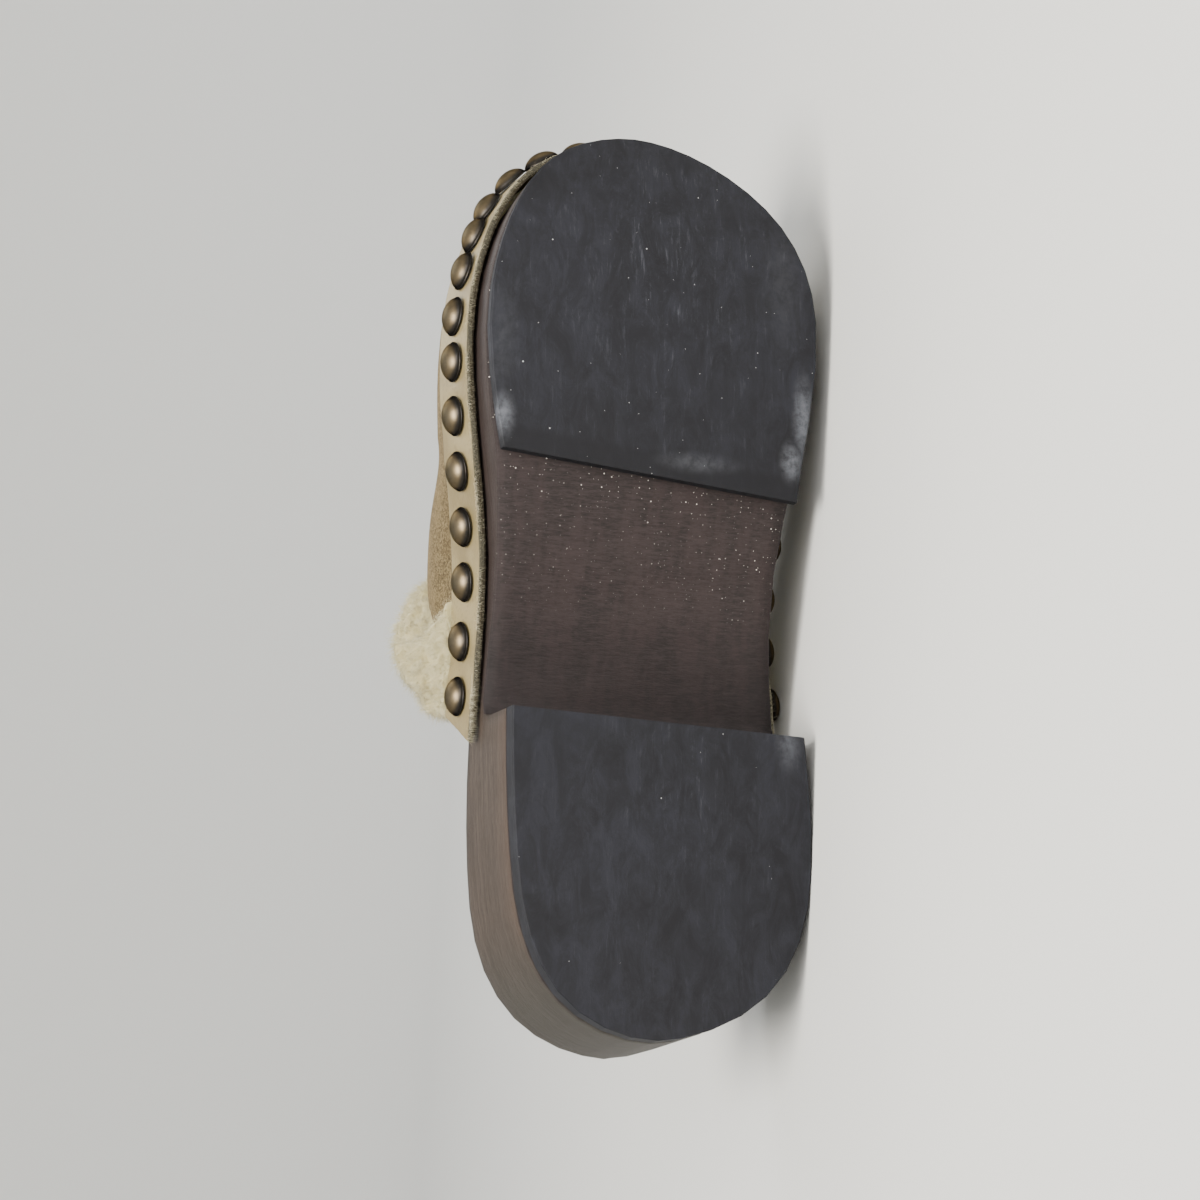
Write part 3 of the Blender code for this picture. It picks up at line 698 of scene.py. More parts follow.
wool = {
    # height of the wool on each of the collar's first ribs, and its share at the collar's two ends
    "puff": (3.5, 7.0, 10.0, 11.5, 11.5, 9.0, 2.5),
    "ends": (0.35, 0.85),
    # the least height of the wool, and the least that it leans upward
    "least": 2.0,
    "rise": 0.2,
    # place over the collar in coarse steps, and how many coarse ribs forward the wool reaches there
    "reach": [
        (0.0, 4.6), (1.0, 3.4), (2.2, 4.1), (3.4, 5.0), (5.0, 6.0), (10.0, 5.9), (15.0, 6.0), (16.6, 5.0),
        (17.8, 4.1), (19.0, 3.4), (20.0, 4.6),
    ],
    # round the rear edge, outward and backward
    "edge": [(0.3, 0.3), (-7.3, 0.3), (-9.0, 1.5), (-6.0, 3.5), (-1.0, 4.0), (2.5, 3.0)],
    "coarseRibs": 29,
    "ribsPerStep": 5,
    "stepsUp": 61,
    # columns left free at the two hems, and points round a section
    "margin": 4,
    "round": 150,
    # how deep the mounds start under the wool's outer face, their spacing, reach and height
    "sunk": 0.7,
    "clumpGap": 2.8,
    "moundReach": 2.1,
    "bumps": 1.5,
    "length": (1.4, 2.8),
    "thick": (0.09, 0.17),
    # how wide a strand twists
    "curl": 0.65,
    # share of the way round a section, and how thickly strands grow there
    "growth": [(0.0, 0.6), (0.03, 0.05), (0.22, 0.05), (0.3, 1.0), (0.95, 1.0), (1.0, 0.8)],
    # which way the strands lie, and how far the mounds and the strands keep off the floor
    "lay": (-0.5, 0.0, 0.15),
    "clear": (0.3, 0.35),
    # each layer's strands: how many, how far they gather into clumps, share of length, share of girth
    "layers": {"a": (9400, 0.55, 1.0, 0.9), "b": (9400, 0.25, 1.25, 0.62), "c": (2600, 0.1, 1.7, 0.5)},
    # the two ends are rounded off in so many rows and stand out this far
    "capRows": 5,
    "capOut": 1.6,
    "seed": 41,
}


def cuffGrid():
    # sections of the wool turned over the collar: under it, round its rear edge and back over it
    face = vampFace(wool["coarseRibs"] * wool["ribsPerStep"] + 1, wool["stepsUp"], 3)
    normal = gridNormals(face)
    back = unit(face[0] - face[wool["ribsPerStep"]])
    rising = normal.copy()
    rising[..., 2] = np.maximum(rising[..., 2], wool["rise"])
    columns = np.arange(wool["margin"], face.shape[1] - wool["margin"])
    far = wool["reach"][-1][0]
    place = np.linspace(0, far, len(columns))
    full = np.interp(np.minimum(place, far - place), [0, 1, 2], [*wool["ends"], 1])
    steps = np.arange(len(wool["puff"]))[:, None] / (len(wool["puff"]) - 1)
    rib = steps * table(wool["reach"], place)[None] * wool["ribsPerStep"]
    low, part = rib.astype(int), (rib % 1)[..., None]
    spot, lift, out = (
        g[low, columns] * (1 - part) + g[low + 1, columns] * part for g in (face, rising, normal)
    )
    puff = np.maximum(np.array(wool["puff"])[:, None] * full, wool["least"])
    over = spot + lift * puff[..., None]
    under = (spot + out * wool["edge"][0][0])[::-1]
    rear = np.stack([face[0] + normal[0] * out + back * away for out, away in wool["edge"]])[:, columns]
    section = np.concatenate([under, rear, over])
    # one smooth closed turn through the section's points, for all columns at once
    gaps = np.linalg.norm(np.diff(np.concatenate([section, section[:1]]), axis=0), axis=2).mean(axis=1)
    knots = np.concatenate([[0.0], np.cumsum(np.tile(gaps, 3))])[:-1]
    turn = gaps.sum()
    at = turn + np.arange(wool["round"]) * turn / wool["round"]
    return spline(knots, np.tile(section, (3, 1, 1)), at).swapaxes(0, 1)


def overFloor(points, clearance):
    # wool squeezed flat where the shoe lies on it
    placed = laid(points)
    placed[..., 2] = np.maximum(placed[..., 2], clearance * 0.001)
    return standing(placed)


def mounds(grid, centres):
    # height over a grid: a round mound on each clump centre
    away = nearest(grid.reshape(-1, 3), centres)[1]
    return (1 - np.clip(away / wool["moundReach"], 0, 1) ** 2).reshape(grid.shape[:2])


def curls(roots, outward, centres, chance, lay, length, curl, pull, finer=1.0):
    # each strand leaves its root along the normal, leans to its clump's middle and twists as it goes;
    # the result is the strands' courses, their girths and their tones
    count = len(roots)
    clump = nearest(roots, centres)[0]
    steps = np.linspace(0, 1, 4)[None, :, None]
    clumpLay = chance.normal(size=(len(centres), 3))
    apart, stray = strand["spread"]
    tilt = np.array(lay) + apart * clumpLay[clump] + stray * chance.normal(size=(count, 3))
    level = tilt - outward * (tilt * outward).sum(-1, keepdims=True)
    course = unit(outward + strand["lean"] * level)
    first, second = beside(course, strand["askew"])
    phase = (chance.random(len(centres)) * 2 * np.pi)[clump] + strand["phase"] * chance.normal(size=count)
    turns = strand["turns"][0] + strand["turns"][1] * chance.random((count, 1))
    spin = phase[:, None] + steps[..., 0] * 2 * np.pi * turns
    twist = first[:, None] * np.cos(spin)[..., None] + second[:, None] * np.sin(spin)[..., None]
    reach = (length[0] + (length[1] - length[0]) * chance.random(count))[:, None, None]
    gather = (centres[clump] - roots)[:, None] * steps**1.5 * pull
    courses = roots[:, None] + course[:, None] * reach * steps + gather + twist * curl * steps
    thick = chance.uniform(*wool["thick"], count) * finer
    ofClump, own = strand["tone"]
    shade = ofClump * chance.random(len(centres))[clump] + own * chance.random(count)
    return courses, thick, shade


def capped(grid, normal):
    # rows that round off both ends: each ring shrinks to its middle by cos while it moves out by sin
    parts = []
    for end, inner in ((0, 1), (-1, -2)):
        ring, middle = grid[end], grid[end].mean(axis=0)
        out = unit((ring - grid[inner]).mean(axis=0))
        turn = np.linspace(0, np.pi / 2, wool["capRows"] + 1)[1:, None, None]
        rows = middle + (ring - middle) * np.cos(turn) + out * np.sin(turn) * wool["capOut"]
        parts.append((rows, unit(normal[end] * np.cos(turn) + out * np.sin(turn))))
    (first, firstLean), (final, finalLean) = parts
    leans = np.concatenate([firstLean[::-1], normal, finalLean])
    return np.concatenate([first[::-1], grid, final]), leans


def lapped(grid):
    # the first column once more after the last
    return np.concatenate([grid, grid[:, :1]], axis=1)


def makeCuff(chance):
    grid = cuffGrid()
    normal = gridNormals(np.concatenate([grid[:, -2:], grid, grid[:, :2]], axis=1))[:, 2:-2]
    middle = grid.mean(axis=1, keepdims=True)
    if ((grid - middle) * normal).sum() < 0:
        normal *= -1
    body, normal = capped(grid - normal * wool["sunk"], normal)
    closed = lapped(body)
    cells = np.cross(np.diff(closed, axis=0)[:, :-1], np.diff(closed, axis=1)[:-1])
    area = np.linalg.norm(cells, axis=2).sum()
    centres = scattered(closed, int(area / wool["clumpGap"] ** 2), chance)[0]
    body = body + normal * (mounds(body, centres) * wool["bumps"])[..., None]
    body = overFloor(body, wool["clear"][0])
    # the last ring at each end is one point
    body[[0, -1]] = body[[0, -1]].mean(axis=1, keepdims=True)
    made = [tidyMesh(putGrid("wool_body", body, strand["under"], closed=True))]
    closed, normals = lapped(body), lapped(normal)
    # few strands where the wool lies against the suede
    rows, columns = body.shape[:2]
    weight = np.repeat(lines(wool["growth"], np.arange(columns) / columns)[None], rows - 1, axis=0)
    weight[: wool["capRows"]], weight[-wool["capRows"] :] = 1.0, 1.0
    for letter, (count, pull, longer, finer) in wool["layers"].items():
        roots, r, q = scattered(closed, count, chance, weight)
        outward = normals[r.astype(int), q.astype(int)]
        reach = np.array(wool["length"]) * longer
        courses, thick, shade = curls(
            roots, outward, centres, chance, wool["lay"], reach, wool["curl"], pull, finer,
        )
        made.append(strands("wool_curls_" + letter, overFloor(courses, wool["clear"][1]), thick, shade))
    return made


lining = {
    # depth of its smooth side under the hide, and height and spacing of its mounds
    "from": 1.6,
    "bumps": 1.1,
    "clumpGap": 3.0,
    # strands grow up to this station, where a view into the shoe ends
    "strands": 5500,
    "strandsTo": 160.0,
    "length": (1.8, 3.4),
    "lay": (-0.6, 0.0, 0.0),
    "curl": 0.6,
    "pull": 0.8,
    # depth at shares of the way to the toe, and at columns in from the two edges
    "toeDepths": [(0.7, 6.6), (0.9, 4.2), (1.0, 2.4)],
    "edgeColumns": 6,
    "edgeDepths": (2.4, 9.0),
}


def makeLining(face, normal, chance):
    # a layer inside the hide: smooth against it, mounded towards the foot, thinner at the toe
    first = vamp["hemRows"]
    face, normal = face[:, first:-first], normal[:, first:-first]
    rows, columns = face.shape[:2]
    toe = lines(lining["toeDepths"], np.linspace(0, 1, rows))[:, None]
    inFromEdge = np.minimum(np.arange(columns), columns - 1 - np.arange(columns))
    side = np.interp(inFromEdge, [0, lining["edgeColumns"]], lining["edgeDepths"])[None]
    deep = np.minimum(toe, side)
    inside = face - normal * deep[..., None]
    area = (np.linalg.norm(np.diff(inside, axis=0), axis=2)[:, :-1]
            * np.linalg.norm(np.diff(inside, axis=1), axis=2)[:-1]).sum()
    centres = scattered(inside, int(area / lining["clumpGap"] ** 2), chance)[0]
    rise = mounds(inside, centres) * lining["bumps"] * np.clip((deep - lining["edgeDepths"][0]) / 3, 0, 1)
    inside = inside - normal * rise[..., None]
    outside = face - normal * np.minimum(lining["from"], deep - 0.5)[..., None]
    loops = np.concatenate([outside, inside[:, ::-1]], axis=1)
    ends = np.concatenate([outside, outside[:, ::-1]], axis=1)[[0, -1]]
    loops = np.concatenate([ends[:1], loops, ends[1:]])
    body = tidyMesh(putGrid("lining_body", loops, strand["under"], closed=True))
    near = face[:-1, :-1, 0] < lining["strandsTo"]
    roots, r, q = scattered(inside, lining["strands"], chance, near * 1.0)
    outward = -normal[r.astype(int), q.astype(int)]
    made = curls(
        roots, outward, centres, chance, lining["lay"], lining["length"], lining["curl"], lining["pull"],
    )
    return [body, strands("lining_curls", *made)]


nail = {
    "radius": 5.75,
    "tall": 3.5,
    "count": 29,
    "sides": 32,
    "brim": 0.45,
    "domeFrom": 0.95,
    # rounding of the brim's edge, and width and depth of the groove inside it
    "soft": (0.1, 0.12),
    "groove": (0.04, 0.02),
    "rings": 12,
    "askew": (0.2, 0.1, 1.0),
}


def nailSeats():
    # seat and outward direction of each nail head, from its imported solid: its thinnest direction
    found = []
    for number in range(1, nail["count"] + 1):
        mesh = frame["nodes"][f"stud_{number:02d}"].data
        points = np.empty(len(mesh.vertices) * 3)
        mesh.vertices.foreach_get("co", points)
        points = standing(points.reshape(-1, 3))
        centred = points - points.mean(axis=0)
        out = np.linalg.svd(centred, full_matrices=False)[2][-1]
        height = centred @ out
        wide = np.linalg.norm(centred - height[:, None] * out, axis=1)
        if height[wide > 0.9 * wide.max()].mean() > 0:
            out, height = -out, -height
        base = points[height < height.min() + 0.05]
        found.append(((base.max(axis=0) + base.min(axis=0)) / 2, out))
    return found


def makeNails(seats):
    # a turned profile: flat brim, a fine groove, then a dome, which is half a ball's cap and half an
    # ellipse: round on top and steeper by the brim
    radius, tall, brim = nail["radius"], nail["tall"], nail["brim"]
    (softOut, softUp), (grooveWide, grooveDeep) = nail["soft"], nail["groove"]
    turn = np.linspace(np.pi / 2, 0, nail["rings"])
    wide, high = nail["domeFrom"] * radius, tall - brim
    ball = (wide**2 + high**2) / (2 * high)
    out = wide * np.sin(turn)
    cap = np.sqrt(ball**2 - out**2) - (ball - high)
    profile = np.concatenate([
        [(0.0, 0.0), (radius - softOut, 0.0), (radius, softUp), (radius, brim - softUp)],
        [(radius - softOut, brim), (wide + grooveWide, brim - grooveDeep)],
        np.stack([out, brim + 0.5 * cap + 0.5 * high * np.cos(turn)], axis=1),
    ])
    angle = np.arange(nail["sides"]) * 2 * np.pi / nail["sides"]
    points, uv = [], []
    for seat, out in seats:
        first, second = beside(out, nail["askew"])
        ring = first * np.cos(angle)[:, None] + second * np.sin(angle)[:, None]
        points.append(seat + ring[None] * profile[:, 0, None, None] + out * profile[:, 1, None, None])
        uv.append(np.stack(np.broadcast_arrays(profile[:, 0, None] / radius, angle[None]), -1))
    one = quadsOf(len(profile), nail["sides"], True)
    polygons = copied(one, len(seats), len(profile) * nail["sides"])
    points, uv = np.array(points).reshape(-1, 3), np.array(uv).reshape(-1, 2)
    return tidyMesh(putMesh("nail_heads", laid(points), polygons, uv), 35)


def makeFibres(chance):
    # a pale fringe from the outer corner lies across the cut, over short dark flesh; longer at the ends
    grid = bandGrid()[0]
    down, made = np.array([0.0, 0.0, -1.0]), []
    for columns, count, inward, tones in (band["fringe"], band["flesh"]):
        low = grid[:, columns]
        run = travelled(low[:, 0])
        end = np.exp(-(np.minimum(run, run[-1] - run) / band["endReach"]) ** 2)
        weight = np.repeat((1 + band["endMore"] * end)[:-1, None], low.shape[1] - 1, axis=1)
        roots, r, _ = scattered(low, count, chance, weight)
        row = np.minimum(r.astype(int), len(grid) - 1)
        stray = chance.normal(size=(count, 3)) * band["stray"]
        course = unit(band["fall"] * down - levelNormals(grid[:, 2])[row] * inward + stray)
        reach = (chance.uniform(*band["fibreLength"], count) * (1 + end[row]))[:, None, None]
        steps = np.linspace(0, 1, 3)[None, :, None]
        bend = chance.normal(size=(count, 1, 3)) * band["bend"]
        courses = roots[:, None] + course[:, None] * reach * steps + bend * steps**2
        made.append((courses, chance.uniform(*tones, count)))
    courses, tone = (np.concatenate(parts) for parts in zip(*made))
    thick = np.full(len(tone), band["fibreThick"])
    return strands("cut_edge_fibres", overFloor(courses, band["fibreClear"]), thick, tone)


def srgb(red, green, blue):
    # screen values to linear ones
    screen = np.array([red, green, blue]) / 255
    linear = np.where(screen > 0.04045, ((screen + 0.055) / 1.055) ** 2.4, screen / 12.92)
    return tuple(float(v) for v in linear)


def specks(shader, place, scale, radius, part):
    # dust: a dot in some part of the cells of a flat pattern, 1 on the dot
    settings = {"voronoi_dimensions": "2D"}
    away = shader.cells(place, scale, "Distance", **settings)
    pick = shader.apart(shader.cells(place, scale, "Color", **settings))
    size = (0.35 + 0.65 * pick[1]) * radius * scale
    return (1 - (away / size).between(0.55, 1.0)) * (1 - (pick[0] > part))


suedeLook = {
    "dark": srgb(37, 30, 17),
    "middle": srgb(79, 67, 44),
    "light": srgb(117, 103, 75),
    "laidOver": srgb(118, 102, 70),
    "ruffled": srgb(76, 62, 38),
    # the raw hem, darkened also by painted shade, starts so far from the ridge in the surface's own
    # coordinates
    "hem": srgb(50, 46, 37),
    "hemFrom": (86.0, 87.0),
    "sheen": srgb(215, 190, 150),
    "speckle": 1.4,
    "roughness": 0.95,
}


def suedeFinish():
    # speckled nap: fine noise picks dark, middle or light, and broad noise lays the nap over
    s = Shader("suede_nap")
    place = s.shoe()
    grain = s.noise(place, suedeLook["speckle"], 3.0, 0.7)
    broad = s.noise(place, 0.06, 3.0, 0.6, 0.6)
    tones = zip((0.41, 0.5, 0.59), (suedeLook["dark"], suedeLook["middle"], suedeLook["light"]))
    colour = s.ramp(grain, list(tones))
    colour = s.mix(broad.between(0.42, 0.68) * 0.3, colour, suedeLook["laidOver"])
    colour = s.mix((1 - broad).between(0.5, 0.72) * 0.3, colour, suedeLook["ruffled"])
    _, across = s.surfacePlace()
    # the hem: raw edge with painted shade under the band
    colour = s.mix(across.absolute().between(*suedeLook["hemFrom"]), colour, suedeLook["hem"])
    fine = s.noise(place, 4.5, 2.0, 0.6)
    height = grain * 0.7 + fine * 0.5 + broad * 0.6
    return s.finish(
        colour=colour, roughness=suedeLook["roughness"], specular=0.15, sheen=0.35, sheenRoughness=0.5,
        sheenTint=suedeLook["sheen"], normal=s.bump(height, 0.0003, 0.7),
    )


bandLook = {
    "pale": srgb(141, 127, 91),
    "deep": srgb(120, 106, 72),
    "mottle": srgb(114, 99, 68),
    "turned": srgb(126, 112, 78),
    # share of the fray noise, and the cut edge's colour there
    "raw": [(0.35, srgb(44, 42, 35)), (0.55, srgb(74, 70, 57)), (0.78, srgb(140, 132, 106))],
    "fibre": [(0.0, srgb(46, 44, 36)), (0.5, srgb(98, 93, 74)), (1.0, srgb(214, 206, 178))],
    "fibreTip": srgb(228, 222, 200),
}


def bandFinish():
    # smooth cream hide, mottled by two noises; its cut edges and back are darker and fibrous
    s = Shader("cream_hide")
    place = s.shoe()
    _, around = s.surfacePlace()
    broad = s.noise(place, 0.045, 4.0, 0.55)
    pores = s.cells(place, 1.5, feature="SMOOTH_F1")
    fine = s.noise(place, 0.5, 6.0, 0.66)
    colour = s.mix(broad.between(0.38, 0.64), bandLook["pale"], bandLook["deep"])
    colour = s.mix((fine - 0.5).absolute().between(0.03, 0.18) * 0.6, colour, bandLook["mottle"])
    # distance round the strip to where its outer face starts and ends
    lower = band["thick"] + (np.pi / 2 - 1) * band["cornerRound"]
    upper = lower + band["high"] - band["low"] - 2 * band["cornerRound"]
    raw = (1 - around.between(lower - 0.4, lower + 0.2)).most(around.between(upper + 0.4, upper + 0.9))
    fray = s.noise(s.stretched(place, (1.6, 1.6, 0.5)), 1.4, 4.0, 0.8)
    colour = s.mix(raw, colour, s.ramp(fray, bandLook["raw"]))
    # the grain side darkens where it turns over the edge
    worn = around.between(lower + 0.1, lower + 0.4) * (1 - around.between(lower + 0.5, lower + 1.6))
    colour = s.mix(worn * 0.4, colour, bandLook["turned"])
    height = pores * 0.25 + fine * 0.5 + broad * 1.5 + fray * raw * 2.5
    return s.finish(
        colour=colour, roughness=0.5 + 0.45 * raw + 0.12 * (fine - 0.5), specular=0.4,
        normal=s.bump(height, 0.00018, 0.8),
    )


def fibreFinish():
    # each fibre has its own tone and pales towards its tip
    s = Shader("raw_hide_fibre")
    tone, along = s.surfacePlace()
    colour = s.mix(along * 0.3, s.ramp(tone, bandLook["fibre"]), bandLook["fibreTip"])
    return s.finish(colour=colour, roughness=0.9, specular=0.1)


woolLook = {
    # the darker root colour is painted shade deep in the wool
    "root": srgb(145, 135, 98),
    "middle": srgb(172, 162, 124),
    "tip": srgb(198, 191, 155),
    "warm": srgb(178, 163, 114),
    # painted glow added to lift the wool's shade, and how deep each colour goes as light passes inside it
    "glow": 0.04,
    "depth": (0.003, 0.0026, 0.002),
}


def woolFinish():
    # creamy curls, darker at their roots by painted shade between the clumps; broad noise warms some of
    # them
    s = Shader("curly_wool")
    tone, along = s.surfacePlace()
    place = s.shoe()
    broad = s.noise(place, 0.09, 2.0)
    colour = s.mix(along ** 0.6, woolLook["root"], woolLook["tip"])
    colour = s.mix(tone * 0.3, colour, woolLook["middle"])
    colour = s.mix(broad.between(0.45, 0.7) * 0.4, colour, woolLook["warm"])
    fine = s.noise(place, 1.3, 4.0, 0.7)
    # the emission is painted light that lifts the wool's shade
    return s.finish(
        colour=colour, roughness=1.0, specular=0.0, sheen=0.3, sheenRoughness=0.6,
        sheenTint=(1.0, 0.95, 0.82), subsurface=0.7, depth=woolLook["depth"],
        glow=woolLook["glow"], glowColour=woolLook["tip"], normal=s.bump(fine, 0.0005, 0.6),
    )


brassLook = {
    "crown": srgb(114, 105, 87),
    "shoulder": srgb(118, 104, 81),
    # painted dark reflection at the dome's edge
    "rim": srgb(50, 49, 49),
    "patina": srgb(84, 76, 64),
    "groove": srgb(38, 35, 31),
    "edge": (0.3, 0.3, 0.31),
}


def metalFinish():
    # aged brass: darker from crown to brim by painted reflection, blotched by patina, dark in the groove
    # by the brim
    s = Shader("aged_brass_nail")
    radial, _ = s.surfacePlace()
    place = s.shoe()
    patina = s.noise(place, 0.7, 4.0, 0.6)
    fine = s.noise(place, 3.5, 3.0, 0.6)
    colour = s.mix(radial.between(0.2, 0.75), brassLook["crown"], brassLook["shoulder"])
    # painted dark reflection: the dome darkens towards its brim
    colour = s.mix(radial.between(0.7, 0.93), colour, brassLook["rim"])
    colour = s.mix(patina.between(0.45, 0.7) * 0.4, colour, brassLook["patina"])
    groove = radial.between(0.9, 0.945) * (1 - radial.between(0.95, 0.985))
    colour = s.mix(groove * 0.85, colour, brassLook["groove"])
    rough = 0.34 + 0.1 * patina + 0.3 * groove
    return s.finish(
        colour=colour, metallic=1.0, roughness=rough, edgeTint=brassLook["edge"],
        normal=s.bump(fine, 0.00004, 0.5),
    )


rubberLook = {
    "base": srgb(19, 19, 23),
    "pale": srgb(34, 35, 42),
    "stroke": srgb(84, 87, 95),
    "haze": srgb(112, 115, 123),
    "mote": srgb(205, 207, 208),
    "roughness": 0.62,
    # each wear: pale patches as (centre on the shoe, reach, strength); where the scratches are thickest
    # and how strong they are; the clean strip along the rear edge (slope over y, edge, width); between
    # which stations the mottle grows to its full strength; how much dust lies there
    "pad": {
        "patches": [
            ((166.5, -41.5, 0.0), (9.0, 4.5, 12.0), 1.0), ((173.0, 45.0, 0.0), (17.0, 4.5, 12.0), 0.9),
            ((160.0, 41.5, 0.0), (8.0, 4.5, 12.0), 1.0), ((157.5, 14.0, 0.0), (4.0, 16.0, 12.0), 0.32),
            ((188.0, -43.0, 0.0), (24.0, 7.0, 12.0), 0.14), ((212.0, 39.0, 0.0), (28.0, 9.0, 12.0), 0.12),
        ],
        "scratched": ((214.0, 2.0, 0.0), (52.0, 38.0, 40.0)),
        "scratches": 0.55,
        "strip": (0.106, 153.1, 6.5),
        "calm": (160.0, 195.0),
        "dust": 0.1,
    },
    "lift": {
        "patches": [((82.0, 41.0, 0.0), (13.0, 5.0, 12.0), 0.5)],
        "scratched": ((70.0, 15.0, 0.0), (45.0, 35.0, 40.0)),
        "scratches": 0.3,
        "strip": (0.0, -100.0, 1.0),
        "calm": (-110.0, -100.0),
        "dust": 0.03,
    },
}


def rubberFinish(name, wear):
    # near black, mottled by two noises; broken scratches run along the shoe, over them lie pale rubbed
    # patches and a little dust
    s = Shader(name)
    place = s.shoe()
    x, y, _ = s.apart(place)
    slope, edge, wide = wear["strip"]
    used = (x + y * slope - edge).between(wide - 1.5, wide + 1.5) * 0.75 + 0.25
    broad = s.noise(place, 0.03, 5.0, 0.62, 0.4)
    smear = s.noise(s.stretched(place, (0.07, 0.16, 0.1), (2.0, 7.0, 0.0)), 1.0, 7.0, 0.78, 0.6)
    dragged = s.stretched(place, (0.09, 0.9, 0.5), turn=(0.0, 0.0, 0.04))
    drag = s.noise(dragged, 1.0, 5.0, 0.75, 0.2)
    nicked = s.stretched(place, (0.7, 0.45, 0.5), (7.0, 3.0, 1.0), (0.0, 0.0, 0.3))
    short = s.noise(nicked, 1.0, 4.0, 0.75)
    mottle = broad.between(0.3, 0.7) * 0.35 + smear.between(0.36, 0.68) * 0.65
    calm = x.between(*wear["calm"]) * 0.3 + 0.7
    colour = s.mix(mottle * used * calm, rubberLook["base"], rubberLook["pale"])
    busy = s.near(place, *wear["scratched"]) * 0.7 + 0.3
    broken = drag.between(0.52, 0.74) * smear.between(0.42, 0.62)
    marks = (broken + short.between(0.58, 0.8) * 0.35) * used
    worn = None
    for centre, reach, strength in wear["patches"]:
        patch = s.near(place, centre, reach) * strength
        worn = patch if worn is None else worn.most(patch)
    hazy = worn * s.noise(place, 0.3, 5.0, 0.7).between(0.2, 0.72)
    colour = s.mix(marks * busy * wear["scratches"], colour, rubberLook["stroke"])
    colour = s.mix(hazy * 0.66, colour, rubberLook["haze"])
    fineDust = specks(s, s.shifted(place, (40.0, 9.0, 0.0)), 0.3, 0.13, wear["dust"] * 0.7)
    motes = specks(s, place, 0.11, 0.26, wear["dust"]).most(fineDust)
    colour = s.mix(motes * 0.8, colour, rubberLook["mote"])
    height = marks * 0.6 + s.noise(place, 1.7, 3.0, 0.6) * 0.5
    return s.finish(
        colour=colour, roughness=rubberLook["roughness"] + 0.12 * broad - 0.1 * worn, specular=0.22,
        normal=s.bump(height, 0.00008, 0.6),
    )


woodLook = {
    # painted light and shade: one stain, darker underneath and ahead of the heel, paler on the heel's
    # walls
    "under": (srgb(34, 29, 29), srgb(53, 45, 45)),
    "heel": (srgb(44, 36, 31), srgb(74, 63, 55)),
    "front": (srgb(38, 31, 30), srgb(54, 45, 43)),
    "footbed": (srgb(84, 66, 58), srgb(112, 92, 80)),
    "stain": srgb(52, 43, 38),
    "warm": srgb(86, 69, 57),
    "grey": srgb(52, 50, 46),
    "streak": srgb(58, 47, 47),
    # painted shade under the waist, deepest by the heel
    "deep": srgb(28, 26, 28),
    "dust": srgb(216, 208, 202),
    # how far the shading of a wall's flat faces is eased into the next, in metres
    "ease": 0.007,
}


